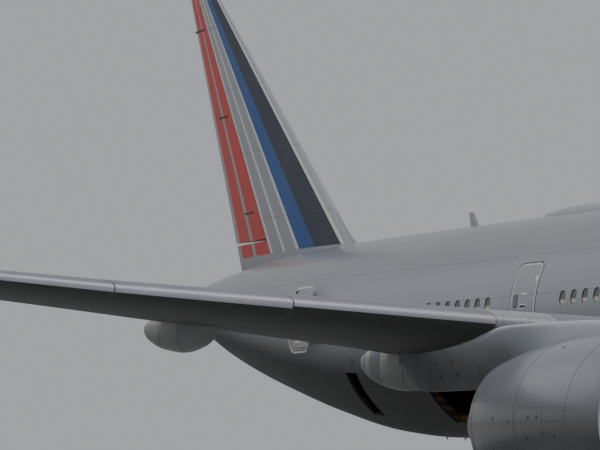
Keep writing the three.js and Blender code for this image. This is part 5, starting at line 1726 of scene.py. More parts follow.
class AIRLINER_OT_tail(bpy.types.Operator):
    """Stabiliser, elevators, fin and rudder"""
    bl_idname = "airliner.tail"
    bl_label = "Tail"

    def execute(self, context):
        finishes = ("tail_grey", "tail_belly", "seam_dark", "bright_alloy")
        blank = Blank()
        fixed_part(blank, STABILISER, {"elevator": ELEVATOR}, REARS["stabiliser"], {}, (0, 1), 0.8)
        both_sides(blank, "stabiliser_skin", finishes, "root", "body_paint", ["stabiliser"], weld=0)
        blank = Blank()
        leans = [end_lean(STABILISER, ELEVATOR)] * 2
        panel_of(blank, STABILISER, ELEVATOR[:2], end_ways(ELEVATOR), leans, (0, 1), 16, True)
        pins(blank, STABILISER, ELEVATOR)
        both_sides(blank, "elevator_skin", finishes, "elevator", "body_paint", ["elevator"], weld=0)
        blank = Blank()
        fixed_part(blank, FIN, {"rudder": RUDDER}, REARS["fin"], {}, (0, 0), 0.6)
        blank.make("fin_skin", ("fin_bands", "seam_dark"), "root", "fin_paint", ["fin"], weld=0)
        self.fin_fillet()
        blank = Blank()
        panel_of(blank, FIN, RUDDER[:2], end_ways(RUDDER), [np.zeros(2)] * 2, (0, 0), 20, True)
        pins(blank, FIN, RUDDER)
        blank.paints = [min(paint, 2) for paint in blank.paints]
        for face in (1, -1):
            for span in (4.6, 8.1, 11.4):
                hinge = float(np.interp(span, *zip(*RUDDER[:2])))
                slot = rounded((span - 0.035, hinge + 0.30), (span + 0.035, hinge + 1.15), 0.03)
                plate(blank, FIN.skin(face), stretched(slot, 0.2), 0.006, 1)
        finishes = ("fin_bands", "seam_dark", "bright_alloy")
        blank.make("rudder_skin", finishes, "rudder", "fin_paint", ["rudder"], weld=0)
        return {"FINISHED"}

    def fin_fillet(self):
        """The small curved fairing that carries the fin's leading edge down into the crown."""
        blank = Blank()
        rings = []
        soft = 0.13
        for share in np.linspace(0, 1, 20):
            station = 50.3 + 2.0 * share
            crown = AXIS + float(BODY("top", station)) - 0.06
            edge = AXIS + FIN.low("span") + (station - FIN.low("lead")) / FIN.slope("lead")
            rise = soft * math.log(1 + math.exp((edge - crown) / soft))
            half = 0.05 + 0.08 * share
            turns = np.linspace(0, math.pi, 9)
            up = crown + rise + 0.05 * np.sin(turns)
            top = np.stack([0.6 * half * np.cos(turns), np.full(9, station), up], -1)
            feet = [[-half - 0.08, station, crown], [half + 0.08, station, crown]]
            rings.append(np.concatenate([top, feet]))
        blank.loft(rings, 0)
        blank.make("fin_root_fairing", ("tail_grey",), "root", "body_paint", sharp=50)


# Engines

# Outlines are station and radius about the engine's own axis.
ENGINE = Sizes(side=9.61, up=-3.10)
COWL_OUTSIDE = [(20.00, 1.60), (20.10, 1.70), (20.40, 1.80), (21.20, 1.88), (22.40, 1.90), (23.60, 1.84),
                (24.80, 1.68), (25.70, 1.50)]
COWL_INSIDE = [(25.66, 1.46), (24.60, 1.58), (23.20, 1.60), (21.80, 1.58), (20.90, 1.50), (20.30, 1.50),
               (20.06, 1.54)]
CORE_OUTSIDE = [(22.45, 0.40), (22.46, 0.72), (23.10, 0.86), (24.40, 0.98), (25.70, 0.93), (27.10, 0.70)]
NOZZLE_PLUG = [(26.2, 0.50), (27.14, 0.44), (27.60, 0.26), (27.98, 0.05)]
SPINNER = [(21.30, 0.0), (21.36, 0.12), (21.62, 0.34), (21.90, 0.46), (22.36, 0.50)]
# Along a blade: its width and the turn of its chord in radians, at three radii.
FAN_BLADES = Sizes(station=22.08, root=0.42, tip=1.53, radius=(0.40, 1.00, 1.53), width=(0.40, 0.50, 0.54),
                   turn=(0.60, 0.95, 1.20))
VANES = 40                     # guide vanes behind the fan; the section is station and offset
VANE_SECTION = ((22.9, 0.0), (23.05, 0.035), (23.35, 0.02), (23.5, 0.05), (23.3, -0.01), (23.05, 0.0))
COWL_JOINTS = (21.27, 23.30, 25.55)
COWL_ROUND = 1.9               # the radius by which places round the cowl are measured
LIP_END = {"outside": 20.175, "inside": 20.42}
STRAKE = Sizes(angle=128, front=21.5, length=1.5, height=0.36)
# Places on the cowl: metres round it from its outboard side, and station.
COWL_FASTENERS = [(0.082, 24.29), (0.0, 23.52), (0.082, 22.64), (0.092, 22.30), (-0.257, 22.12),
                  (-0.329, 21.66), (-0.359, 22.78), (-2.0, 22.3), (1.9, 22.6), (4.9, 22.4)]
COWL_HATCHES = [((-0.36, 22.10), (0.29, 23.22)), ((-1.45, 21.55), (-0.85, 21.95)),
                ((-1.75, 23.7), (-1.1, 24.6)), ((4.97, 21.6), (5.52, 22.2)), ((2.2, 23.6), (2.9, 24.4))]
# Stations with the heights of top and bottom above the axis, and the half width.
PYLON = Profile(("top", "bottom", "half"), [
    (21.30, -1.32, -1.40, 0.02), (22.20, -0.98, -1.43, 0.16), (22.80, -0.88, -1.46, 0.22),
    (23.60, -0.865, -1.50, 0.25), (23.80, -0.86, -2.22, 0.26), (24.80, -0.865, -2.22, 0.26),
    (25.55, -0.88, -2.22, 0.26), (26.60, -0.90, -2.26, 0.26), (29.60, -1.06, -2.28, 0.26),
    (30.15, -1.10, -2.26, 0.20), (31.30, -1.19, -1.62, 0.05), (31.40, -1.20, -1.60, 0.04),
])
# How far the pylon spreads where it meets the wing, and the depth over which it does so.
PYLON_FILLET = Profile(("spread",), [
    (21.30, 0.0), (23.20, 0.0), (24.40, 0.18), (25.20, 0.46), (26.00, 0.56), (27.20, 0.50), (28.60, 0.30),
    (30.20, 0.0), (31.40, 0.0),
])
FILLET_DEPTH = 0.62
PYLON_VENTS = [(29.17, -1.63), (28.39, -1.63), (29.07, -1.96), (28.30, -1.93)]


def pylon_fillet_level(station, top):
    """The height above the axis at which the pylon is widest: its top, or the wing's underside over it."""
    span = ENGINE.side + 0.4
    lead = float(WING.at("lead", span))
    if station <= lead:
        return top
    return float(WING.place(span, station, -WING.half(span, station))[2]) - AXIS


def fillet_spread(station, up):
    """How far the fairing stands out beyond the pylon's own side at a station and height."""
    def at(one, height):
        level = pylon_fillet_level(one, float(PYLON("top", one)))
        near = min(max((height - level + FILLET_DEPTH) / FILLET_DEPTH, 0.0), 1.0)
        return float(PYLON_FILLET("spread", one)) * near**2.2

    return np.vectorize(at, otypes=[float])(station, up)


COWL_CURVE = curve_through(COWL_OUTSIDE, 8)


def engine_centre():
    """A point on the axis of the port engine, at the station of the nose."""
    return np.array([ENGINE.side, 0.0, AXIS + ENGINE.up])


def nacelle_skin(arc, station, lift):
    """The cowl as a function of metres round it from its outboard side, up being positive, and station."""
    radius = np.interp(station, COWL_CURVE[:, 0], COWL_CURVE[:, 1]) + lift
    angle = np.asarray(arc) / COWL_ROUND
    side, up = radius * np.cos(angle), radius * np.sin(angle)
    return np.stack(np.broadcast_arrays(side, station, up), -1) + engine_centre()


class AIRLINER_OT_engines(bpy.types.Operator):
    """Nacelles, fans, cores with their nozzles, and pylons"""
    bl_idname = "airliner.engines"
    bl_label = "Engines"

    def execute(self, context):
        sizes = context.scene.airliner_sizes
        self.nacelle()
        for name, side in (("left", 1), ("right", -1)):
            self.fan(name, engine_centre() * flip(side), sizes.fan_blades)
        self.core()
        self.pylon()
        return {"FINISHED"}

    def nacelle(self):
        """The cowl with its joints, latches, hatches and strake."""
        blank = Blank()
        inside = curve_through(COWL_INSIDE, 8)
        lip = curve_through([inside[-1], COWL_OUTSIDE[0], COWL_CURVE[0] + [0.03, 0.045]], 4)[1:-1]
        outline = np.concatenate([COWL_CURVE, inside, lip])
        count = len(COWL_CURVE)

        def paint(i, j):
            side = "outside" if i < count else "inside"
            if outline[i][0] < LIP_END[side] - 0.01:
                return 1
            return 0 if i < count else 2

        blank.turned(outline, engine_centre(), "station", 128, paint, closed=True)
        turn = np.linspace(-math.pi, math.pi, 129) * COWL_ROUND
        quarter = math.pi / 2 * COWL_ROUND
        for station, width in zip((LIP_END["outside"], *COWL_JOINTS), (0.008, 0.009, 0.010, 0.008)):
            band(blank, nacelle_skin, [(arc, station) for arc in turn], width, 0.003, 3, closed=False)
        for arc, end in ((0.0, COWL_JOINTS[2]), (2 * quarter, COWL_JOINTS[2]), (-quarter, 25.6)):
            line = [(arc, station) for station in np.linspace(COWL_JOINTS[0], end, 24)]
            band(blank, nacelle_skin, line, 0.012, 0.003, 3, closed=False)
        for arc in (-0.07, 0.07):
            for station in np.linspace(COWL_JOINTS[0] + 0.3, 25.2, 8):
                latch = pad(-quarter + arc, station, 0.03, 0.09, 0.02)
                plate(blank, nacelle_skin, latch, 0.004, 3 if arc > 0 else 4)
        for arc, station in COWL_FASTENERS:
            plate(blank, nacelle_skin, pad(arc, station, 0.035, 0.035, 0.03), 0.004, 5)
        for low, high in COWL_HATCHES:
            band(blank, nacelle_skin, stretched(rounded(low, high, 0.06), 0.15), 0.008, 0.003, 3)
        self.strake(blank)
        finishes = ("nacelle_grey", "bright_alloy", "inlet_liner", "seam_soft", "steel", "seam_dark")
        both_sides(blank, "nacelle_cowl", finishes, "root", "nacelle_paint", ["nacelle"], sharp=40)

    def strake(self, blank):
        """The curved fin on the inboard shoulder of the cowl."""
        angle = math.radians(STRAKE.angle)
        out = np.array([math.cos(angle), 0, math.sin(angle)])
        across = np.array([-math.sin(angle), 0, math.cos(angle)])
        rings = []
        for t in np.linspace(0, 1, 14):
            base = nacelle_skin(angle * COWL_ROUND, STRAKE.front + STRAKE.length * t, -0.03)
            bow = math.sin(math.pi * min(1, 0.04 + t * 0.80) * 0.62)
            height = 0.03 + STRAKE.height * bow**1.4 * (1 if t < 0.97 else 0.9)
            rings.append([base + across * 0.02, base + out * height + across * 0.006,
                          base + out * height - across * 0.006, base - across * 0.02])
        blank.loft(rings, 0)

    def fan(self, name, centre, count):
        """One fan wheel: spinner with its painted curl, blades and shaft."""
        blank = Blank()
        outline = curve_through(SPINNER, 8)
        blank.turned(np.concatenate([outline, [(22.38, 0.30), (22.38, 0.0)]]), centre, "station", 64, 1)
        f = FAN_BLADES
        way = np.concatenate([np.linspace(-1, 1, 7), np.linspace(1, -1, 7)[1:-1]])
        for turn in circle(count):
            rings = []
            for radius in np.linspace(f.root, f.tip, 11):
                width, twist = (float(np.interp(radius, f.radius, values)) for values in (f.width, f.turn))
                bend = 0.05 * math.sin((radius - f.root) / (f.tip - f.root) * math.pi * 1.15)
                thick = 0.5 * (0.045 - 0.022 * (radius - 0.4)) * (1 - way**2) ** 0.7
                flat = 0.03 * (1 - way**2) + np.where(np.arange(12) < 7, thick, -thick)
                chord = way * width / 2
                along = f.station + chord * math.cos(twist) - flat * math.sin(twist) - bend * 0.5
                across = chord * math.sin(twist) + flat * math.cos(twist)
                x = across * math.cos(turn) + radius * math.sin(turn)
                z = -across * math.sin(turn) + radius * math.cos(turn)
                rings.append(np.stack([x, along, z], -1) + centre)
            blank.loft(rings, lambda i, j: 2 if j in (0, 11) else 0)

        def spinner_skin(radius, angle, lift):
            station = np.interp(radius, outline[:, 1], outline[:, 0])
            return np.stack([radius * np.cos(angle), station - lift, radius * np.sin(angle)], -1) + centre

        turns = np.linspace(0, 1, 40)
        radii, angles = 0.04 + 0.40 * turns, 4.6 * turns
        half = (0.03 + 0.03 * turns) / np.maximum(radii, 0.05) * 0.5
        blank.grid(np.array([spinner_skin(radii, angles + way * half, 0.006) for way in (-1, 1)]), 3)
        blank.bar(centre + [0, 22.36, 0], centre + [0, 22.54, 0], 0.12, sides=24, paint=2)
        finishes = ("blade_black", "spinner_grey", "steel", "marking_white")
        body = f"fan_{name}"
        blank.make(f"fan_wheel_{name}", finishes, body, "fan_blade", [body], sharp=40, weld=0)

    def core(self):
        """The core's case with its nozzle, plug, clamp rings and the vanes behind the fan."""
        blank = Blank()
        centre = engine_centre()
        outside = curve_through(CORE_OUTSIDE, 8)
        lipped = np.concatenate([outside, [(27.12, 0.685), (27.11, 0.66), (26.2, 0.70), (25.6, 0.72)]])
        last = len(outside) - 1
        blank.turned(lipped, centre, "station", 96, lambda i, j: 0 if outside[min(i, last)][0] > 24.6 else 2)
        blank.turned(curve_through(NOZZLE_PLUG, 8), centre, "station", 64, 0)
        # Near black discs close the two ducts: painted shade inside them.
        blank.turned([(26.2, 0.46), (26.2, 0.72)], centre, "station", 64, 3)
        blank.turned([(25.3, 0.90), (25.3, 1.57)], centre, "station", 96, 3)
        for station in (25.3, 25.9, 26.6):
            radius = float(np.interp(station, outside[:, 0], outside[:, 1]))
            clamp = [(station + way, radius + rise)
                     for way, rise in ((-0.02, 0.0), (-0.012, 0.008), (0.012, 0.008), (0.02, 0.0))]
            blank.turned(clamp, centre, "station", 96, 1)
        for turn in circle(VANES):
            across = np.array([math.cos(turn), 0, -math.sin(turn)])
            out = np.array([math.sin(turn), 0, math.cos(turn)])
            ends = [[centre + out * radius + [0, station, 0] + across * aside
                     for station, aside in VANE_SECTION] for radius in (0.70, 1.60)]
            blank.loft(ends, 2)
        blank.turned([(22.44, 0.12), (22.44, 0.60), (22.47, 0.72)], centre, "station", 64, 2)
        finishes = ("nozzle_alloy", "steel", "core_grey", "hold_dark")
        both_sides(blank, "engine_core_case", finishes, "root", "nozzle_metal", ["engine_core"], sharp=40)

    def pylon(self):
        """The pylon, spread where it meets the wing, with its vents and joint."""
        blank = Blank()
        rings = []
        angles = circle(112)
        round_x, round_z = squared(np.cos(angles), 0.35), squared(np.sin(angles), 0.55)
        for station in np.concatenate([21.3 + 0.6 * np.linspace(0, 1, 7) ** 2, np.linspace(22.1, 31.4, 96)]):
            top, bottom, half = (float(PYLON(name, station)) for name in ("top", "bottom", "half"))
            up = (top + bottom) / 2 + (top - bottom) / 2 * round_z
            spread = half + fillet_spread(station, up)
            rings.append(np.stack([ENGINE.side + spread * round_x, np.full(112, station), AXIS + up], -1))
        blank.loft(rings, 0)

        for sign in (1, -1):
            def skin(station, up, lift, sign=sign):
                half = PYLON("half", station) + lift + fillet_spread(station, up)
                spot = np.broadcast_arrays(ENGINE.side + sign * half, station, AXIS + up)
                return np.stack(spot, -1).astype(float)

            for station, up in PYLON_VENTS:
                plate(blank, skin, pad(station, up, 0.05, 0.05, 0.045), 0.004, 1)
            line = [(27.3, up) for up in np.linspace(-2.12, -1.55, 8)]
            band(blank, skin, line, 0.008, 0.003, 2, closed=False)
        both_sides(blank, "pylon_fairing", ("pylon_grey", "seam_dark", "seam_soft"), "root", "nacelle_paint",
                   ["pylon"], sharp=40)


# Flap track fairings: side, front and back stations, depth below the wing, half width.
TRACK_FAIRINGS = {
    "inboard": (8.60, 30.1, 35.05, 0.95, 0.33),
    "middle": (14.0, 31.8, 36.50, 0.78, 0.30),
    "outboard": (19.6, 34.9, 38.70, 0.62, 0.26),
}
# Shares of the length with shares of the depth, for top and bottom, and of the half width.
TRACK_SHAPE = Profile(("top", "bottom", "half"), [
    (0.00, 0.30, 0.22, 0.10), (0.14, 0.40, -0.38, 0.60), (0.34, 0.40, -0.88, 0.92), (0.52, 0.40, -1.00, 1.00),
    (0.74, 0.30, -0.86, 0.92), (0.92, 0.12, -0.56, 0.62), (1.00, -0.02, -0.34, 0.24),
])


def canoe_paint(share, name):
    """The paint of a track fairing at a share of its length: painted shade in front, under the wing, and pale
    behind.
    """
    # Painted shade on the front.
    if share < 0.46:
        return 1
    banded = name == "inboard" and (0.72 <= share <= 0.84 or 0.88 <= share <= 0.92)
    return 0 if banded else 3


class AIRLINER_OT_canoes(bpy.types.Operator):
    """Fairings over the flap tracks, with the joint of their moving tails"""
    bl_idname = "airliner.canoes"
    bl_label = "Flap track fairings"

    def execute(self, context):
        across, rise = squared(np.cos(circle(28)), 0.75), squared(np.sin(circle(28)), 0.75)
        finishes = ("canoe_grey", "canoe_belly", "seam_dark", "canoe_pale")
        for name, (side, front, back, depth, half) in TRACK_FAIRINGS.items():
            length = back - front
            middle = front + 0.4 * length
            base = float(WING.place(side, middle, 0.0)[2])
            blank = Blank()
            rings = []
            shares = np.linspace(0, 1, 34)
            for share in shares:
                top, bottom, width = (float(TRACK_SHAPE(key, share)) for key in ("top", "bottom", "half"))
                rings.append(np.stack([side + half * width * across, np.full(28, front + share * length),
                                       base + depth * ((top + bottom) / 2 + (top - bottom) / 2 * rise)], -1))
            blank.loft(rings, lambda i, j: canoe_paint(shares[min(i, 32)], name))
            for share in (0.49, 0.74):
                ring = np.array(rings[int(share * 33)])
                centre = ring.mean(axis=0)
                grown = [centre + (ring - centre) * k for k in (0.99, 1.004, 1.004, 0.99)]
                for row, shift in zip(grown, (-0.012, -0.012, 0.012, 0.012)):
                    row[:, 1] += shift
                blank.grid(np.array(grown), 2, round_rows=True)
            both_sides(blank, f"flap_track_canoe_{name}", finishes, "root", "body_paint",
                       [f"flap_track_fairing_{name}"], sharp=45)
        return {"FINISHED"}


# Landing gear

MAIN_GEAR = Sizes(side=5.485, station=31.77, axle_pitch=1.45, wheel_pitch=1.40, tyre=0.635, half=0.25,
                  rim=0.30, top_station=31.2, top=4.32)
NOSE_GEAR = Sizes(station=5.89, wheel_pitch=0.96, tyre=0.535, half=0.20, rim=0.26, steer=1.45)
# Shares of the tyre's half width, and of its height over the rim.
TYRE_SHOULDER = [(-0.80, 0.00), (-0.93, 0.16), (-1.00, 0.42), (-0.97, 0.66), (-0.84, 0.86), (-0.62, 0.965),
                 (-0.44, 0.99)]
GROOVE = ((-1.6, 1.0), (-1.0, 1.0), (-0.8, 0.955), (0.8, 0.955), (1.0, 1.0), (1.6, 1.0))
GROOVE_WIDTH = 0.028
SIDE_RIDGE = ((0.985, 0.30), (1.012, 0.33), (0.995, 0.37))
# Shares of the half width and of the rim's radius: the outer and the inner face of a wheel.
WHEEL_DISH = ((0.62, 0.86), (0.30, 0.80), (0.24, 0.62), (0.34, 0.42), (0.62, 0.38), (0.66, 0.30), (0.66, 0.0))
WHEEL_BACK = ((0.60, 0.90), (0.50, 0.30))


def tyre_and_wheel(blank, centre, gear, outward, grooves):
    """One wheel: tyre with tread grooves and sidewall ribs, split hub with tie bolts, and a hub cap."""
    half, rim = gear.half, gear.rim
    step = gear.tyre - rim
    shoulder = [(along * half, rim + way * step) for along, way in TYRE_SHOULDER]
    outline = list(shoulder)
    for k in range(grooves):
        middle = (-0.36 + 0.72 * k / (grooves - 1)) * half
        outline += [(middle + shift * GROOVE_WIDTH * half, rim + way * step) for shift, way in GROOVE]
    outline += [(-along, radius) for along, radius in reversed(shoulder)]
    blank.turned(outline, centre, "side", 72, 0)
    for out in (-outward * half, outward * half):
        blank.turned([(out * share, rim + way * step) for share, way in SIDE_RIDGE], centre, "side", 72, 0)
    out = outward * half
    dish = [(out * 0.80, rim), (out * 0.86, rim + 0.012), (out * 0.80, rim - 0.02)]
    dish += [(out * share, rim * way) for share, way in WHEEL_DISH]
    blank.turned(dish, centre, "side", 48, 1)
    back = [(-out * 0.80, rim), (-out * 0.84, rim + 0.01)]
    back += [(-out * share, rim * way) for share, way in WHEEL_BACK]
    blank.turned([*back, (-out * 0.50, 0.05)], centre, "side", 48, 2)
    for turns, share, radius, length, size in ((circle(14), 0.28, 0.72, 0.035, 0.014),
                                               (circle(6) + math.pi / 6, 0.64, 0.22, 0.02, 0.009)):
        for turn in turns:
            aft, up = rim * radius * math.cos(turn), rim * radius * math.sin(turn)
            base = np.array(centre) + [out * share, aft, up]
            blank.bar(base, base + [outward * length, 0, 0], size, sides=6, paint=2, rim=0.2)
    valve = np.array(centre) + [out * 0.30, rim * 0.5, 0]
    blank.bar(valve, valve + [outward * 0.05, 0.03, 0], 0.008, sides=8, paint=3)


def brace(blank, start, end, radius):
    """A two part brace with forked ends and a pinned knee."""
    start, end = np.array(start, float), np.array(end, float)
    knee = (start + end) / 2
    blank.bar(start, knee, radius, radius * 0.85, 20, 1)
    blank.bar(knee, end, radius * 0.85, radius, 20, 1)
    for point, size in ((start, 1.5), (knee, 1.35), (end, 1.4)):
        reach = [0, radius * 1.2, 0]
        blank.bar(point - reach, point + reach, radius * size, sides=20, paint=2)
    blank.bar(start + [0, 0, radius * 1.6], knee + [0, 0, radius * 1.6], radius * 0.35, sides=12, paint=5)


class AIRLINER_OT_main_gear(bpy.types.Operator):
    """Main gear: wheels, bogie beams, legs with braces, and the doors on the legs"""
    bl_idname = "airliner.main_gear"
    bl_label = "Main gear"

    def execute(self, context):
        sizes = context.scene.airliner_sizes
        g = MAIN_GEAR
        paints = ("tyre_black", "gear_grey", "steel", "bright_alloy", "marking_black", "chrome")
        for i, row in enumerate(("front", "middle", "rear")):
            blank = Blank()
            station = g.station + (i - 1) * g.axle_pitch
            for sign in (-1, 1):
                centre = (g.side + sign * g.wheel_pitch / 2, station, g.tyre)
                tyre_and_wheel(blank, centre, g, sign, sizes.tread_grooves)
            blank.axle((g.side, station, g.tyre), g.wheel_pitch / 2 - g.half * 0.45, 0.088, paint=2)
            for sign in (-1, 1):
                inner = g.side + sign * (g.wheel_pitch / 2 - g.half)
                ends = [(inner + sign * way, station, g.tyre) for way in (-0.04, 0.10)]
                blank.bar(*ends, 0.235, sides=36, paint=4, rim=0.1)
            both_sides(blank, f"main_wheels_{row}_pair", paints, f"main_wheels_{row}", "tyre_rubber",
                       [f"main_wheels_{row}"], sharp=38)
        self.beam(paints)
        self.leg(paints)
        self.door()
        return {"FINISHED"}

    def beam(self, paints):
        """The bogie beam with its axle bosses, brake rods and brake lines."""
        g = MAIN_GEAR
        blank = Blank()
        reach = g.axle_pitch + 0.22
        rings = []
        across, rise = squared(np.cos(circle(24)), 0.7), squared(np.sin(circle(24)), 0.7)
        for t in np.concatenate([[-1.0, -0.985], np.linspace(-0.93, 0.93, 25), [0.985, 1.0]]):
            swell = 0.145 + 0.025 * math.cos(t * math.pi * 3) ** 2
            shrink = 0.7 if abs(t) == 1.0 else 0.93 if abs(t) > 0.98 else 1.0
            rings.append(np.stack([g.side + across * swell * shrink, np.full(24, g.station + t * reach),
                                   g.tyre + 0.03 + rise * 0.165 * shrink], -1))
        blank.loft(rings, 1)
        for i in (-1, 0, 1):
            station = g.station + i * g.axle_pitch
            blank.axle((g.side, station, g.tyre), 0.19, 0.15, 28, 1)
            for sign in (-1, 1):
                blank.bar((g.side + sign * 0.19, station + 0.10, g.tyre + 0.10),
                          (g.side + sign * 0.40, station + 0.10, g.tyre + 0.14), 0.028, sides=12, paint=2)
        foot = g.tyre + 0.16
        blank.block((g.side - 0.13, g.station - 0.24, foot), (g.side + 0.13, g.station + 0.24, 0.94), 0.04, 1)
        ends = g.axle_pitch - 0.1
        line = ((-ends, 0.16), (-0.7, 0.22), (-0.25, 0.26), (0.3, 0.24), (ends, 0.16))
        for side in (g.side - 0.14, g.side + 0.14):
            blank.hose([(side, g.station + way, g.tyre + up) for way, up in line], 0.014, 8, 4)
        both_sides(blank, "main_gear_bogie", paints, "root", "gear_paint", ["main_gear_beam"], sharp=40)

    def leg(self, paints):
        """The leg with its collars, braces, torque links and brake hoses."""
        g = MAIN_GEAR
        blank = Blank()
        top = np.array([g.side, g.top_station, g.top])
        foot = np.array([g.side, g.station, g.tyre + 0.10])

        def on_leg(share, side=0.0, aft=0.0):
            return foot + share * (top - foot) + [side, aft, 0]

        for low, high, radius in ((0.42, 1.0, 0.225), (0.40, 0.46, 0.24), (0.60, 0.64, 0.24)):
            blank.bar(on_leg(low), on_leg(high), radius, sides=40, paint=1)
        blank.bar(on_leg(0.16), on_leg(0.5), 0.155, sides=36, paint=5)
        blank.block((g.side - 0.165, g.station - 0.19, 0.955), (g.side + 0.165, g.station + 0.19, 1.32),
                    0.05, 1)
        for sign in (-1, 1):
            boss = [(g.side + sign * reach, g.station, 1.10) for reach in (0.10, 0.19)]
            blank.bar(*boss, 0.12, sides=28, paint=2)
        brace(blank, on_leg(0.62), (3.1, g.top_station - 0.2, 3.45), 0.085)
        brace(blank, on_leg(0.45), (g.side - 0.5, 28.2, 4.5), 0.095)
        knee = np.array([g.side, g.station + 0.52, 1.72])
        for sign in (-1, 1):
            shift = np.array([sign * 0.075, 0, 0])
            blank.bar((g.side + sign * 0.075, g.station + 0.20, 1.25), knee + shift * 0.4, 0.035, 0.03, 12, 1)
            blank.bar(knee + shift * 0.4, on_leg(0.47) + shift, 0.03, 0.035, 12, 1)
        blank.axle(knee, 0.11, 0.045, 16, 2)
        for sign, radius in ((-1, 0.018), (1, 0.014)):
            upper = ((0.9, 0.24, 0.0), (0.62, 0.26, 0.04), (0.42, 0.26, 0.10))
            route = [on_leg(share, sign * side, aft) for share, side, aft in upper]
            route += [(g.side + sign * way, g.station + way, up) for way, up in ((0.22, 1.45), (0.18, 1.05))]
            blank.hose(route, radius, 8, 4)
        for share in (0.52, 0.72, 0.86):
            blank.bar(on_leg(share - 0.006), on_leg(share + 0.006), 0.233, sides=36, paint=3)
        both_sides(blank, "main_gear_strut", paints, "root", "gear_paint", ["main_gear_leg"], sharp=40)

    def door(self):
        """The door on the leg, slightly bowed, with its ribs and rods."""
        g = MAIN_GEAR
        blank = Blank()
        side = g.side + 0.545
        front, back = g.top_station - 0.54, g.top_station + 0.74
        outline = stretched(rounded((front, 2.27), (back, 4.13), 0.10), 0.2)
        rows = []
        centre = outline.mean(axis=0)
        for depth, share in ((-0.022, 0.01), (-0.022, 0.93), (-0.012, 1.0), (0.012, 1.0), (0.022, 0.985),
                             (0.022, 0.01)):
            line = shrunk(outline, share)
            bow = 0.02 * (1 - ((line[:, 0] - centre[0]) / 0.7) ** 2)
            rows.append(np.stack([side + depth + bow * 0.4, line[:, 0], line[:, 1]], -1))
        blank.grid(np.array(rows), lambda i, j: 1 if i == 0 else 0, round_rows=True)
        for up in (2.7, 3.2, 3.7):
            blank.block((side - 0.05, front + 0.1, up - 0.025), (side - 0.015, back - 0.1, up + 0.025),
                        0.008, 1)
        rod = g.top_station + 0.05
        for up in (2.75, 3.2, 3.65):
            blank.bar((g.side + 0.2, rod, up), (side - 0.01, rod, up), 0.035, sides=14, paint=1)
        both_sides(blank, "main_gear_leg_door", ("door_silver", "gear_grey"), "root", "body_paint",
                   ["main_gear_door"], sharp=40)


class AIRLINER_OT_nose_gear(bpy.types.Operator):
    """Nose gear: leg, steered fork, wheels and taxi lamps"""
    bl_idname = "airliner.nose_gear"
    bl_label = "Nose gear"

    def execute(self, context):
        paints = ("tyre_black", "gear_grey", "steel", "bright_alloy", "marking_black", "chrome", "lamp_clear")
        self.wheels(paints, context.scene.airliner_sizes.tread_grooves)
        self.fork(paints)
        self.leg(paints)
        return {"FINISHED"}

    def wheels(self, paints, grooves):
        """The two wheels and their axle."""
        g, s = NOSE_GEAR, NOSE_GEAR.station
        blank = Blank()
        for sign in (-1, 1):
            tyre_and_wheel(blank, (sign * g.wheel_pitch / 2, s, g.tyre), g, sign, grooves)
        blank.axle((0, s, g.tyre), 0.4, 0.078, paint=2)
        blank.make("nose_wheel_pair", paints, "nose_wheels", "tyre_rubber", ["nose_wheels"], sharp=38)

    def fork(self, paints):
        """The steered part of the leg, with its torque links and tow bar pin."""
        g, s = NOSE_GEAR, NOSE_GEAR.station
        blank = Blank()
        blank.bar((0, s, 0.60), (0, s, g.steer - 0.005), 0.118, sides=32, paint=5)
        blank.bar((0, s, g.steer - 0.22), (0, s, g.steer - 0.004), 0.168, sides=36, paint=1)
        blank.block((-0.145, s - 0.155, g.tyre - 0.145), (0.145, s + 0.155, g.tyre + 0.145), 0.04, 1)
        blank.axle((0, s, g.tyre), 0.19, 0.125, 28, 1)
        knee = np.array([0, s - 0.42, 1.05])
        for sign in (-1, 1):
            shift = np.array([sign * 0.07, 0, 0])
            blank.bar((sign * 0.07, s - 0.12, 1.34), knee + shift * 0.5, 0.028, 0.024, 12, 1)
            blank.bar(knee + shift * 0.5, (sign * 0.07, s - 0.12, 0.74), 0.024, 0.028, 12, 1)
        blank.axle(knee, 0.07, 0.035, 14, 2)
        blank.axle((0, s - 0.20, g.tyre - 0.04), 0.10, 0.03, 14, 2)
        blank.make("nose_gear_steered_fork", paints, "nose_steering", "gear_paint", ["nose_gear_fork"],
                   sharp=40)

    def leg(self, paints):
        """The fixed part of the leg, with its brace, steering lines and taxi lamps."""
        g, s = NOSE_GEAR, NOSE_GEAR.station
        blank = Blank()
        ceiling = AXIS + NOSE_WELL.ceiling
        blank.bar((0, s, g.steer + 0.004), (0, s, ceiling - 0.02), 0.165, sides=36, paint=1)
        for up in (1.62, 2.35, 3.1):
            blank.bar((0, s, up - 0.03), (0, s, up + 0.03), 0.185, sides=36, paint=1)
        blank.axle((0, s, 4.05), 0.42, 0.088, paint=2)
        brace(blank, (0, s, 3.0), (0, s + 1.25, ceiling - 0.08), 0.06)
        for sign in (-1, 1):
            lamp = sign * 0.17
            blank.bar((sign * 0.12, s - 0.02, 1.80), (sign * 0.26, s - 0.02, 1.80), 0.07, sides=20, paint=2)
            blank.bar((lamp, s - 0.16, 2.62), (lamp, s - 0.03, 2.62), 0.085, 0.06, 24, 1)
            blank.bar((lamp, s - 0.172, 2.62), (lamp, s - 0.158, 2.62), 0.072, sides=24, paint=6)
            line = ((0.16, 0.06, 3.9), (0.19, 0.06, 3.1), (0.19, 0.05, 2.3), (0.17, 0.08, 1.75))
            blank.hose([(sign * side, s + aft, up) for side, aft, up in line], 0.014, 8, 4)
        blank.make("nose_gear_strut", paints, "root", "gear_paint", ["nose_gear_leg"], sharp=40)


# Small parts

CROWN_RADOME = Sizes(station=37.6, length=4.6, half=0.72, rise=0.22)
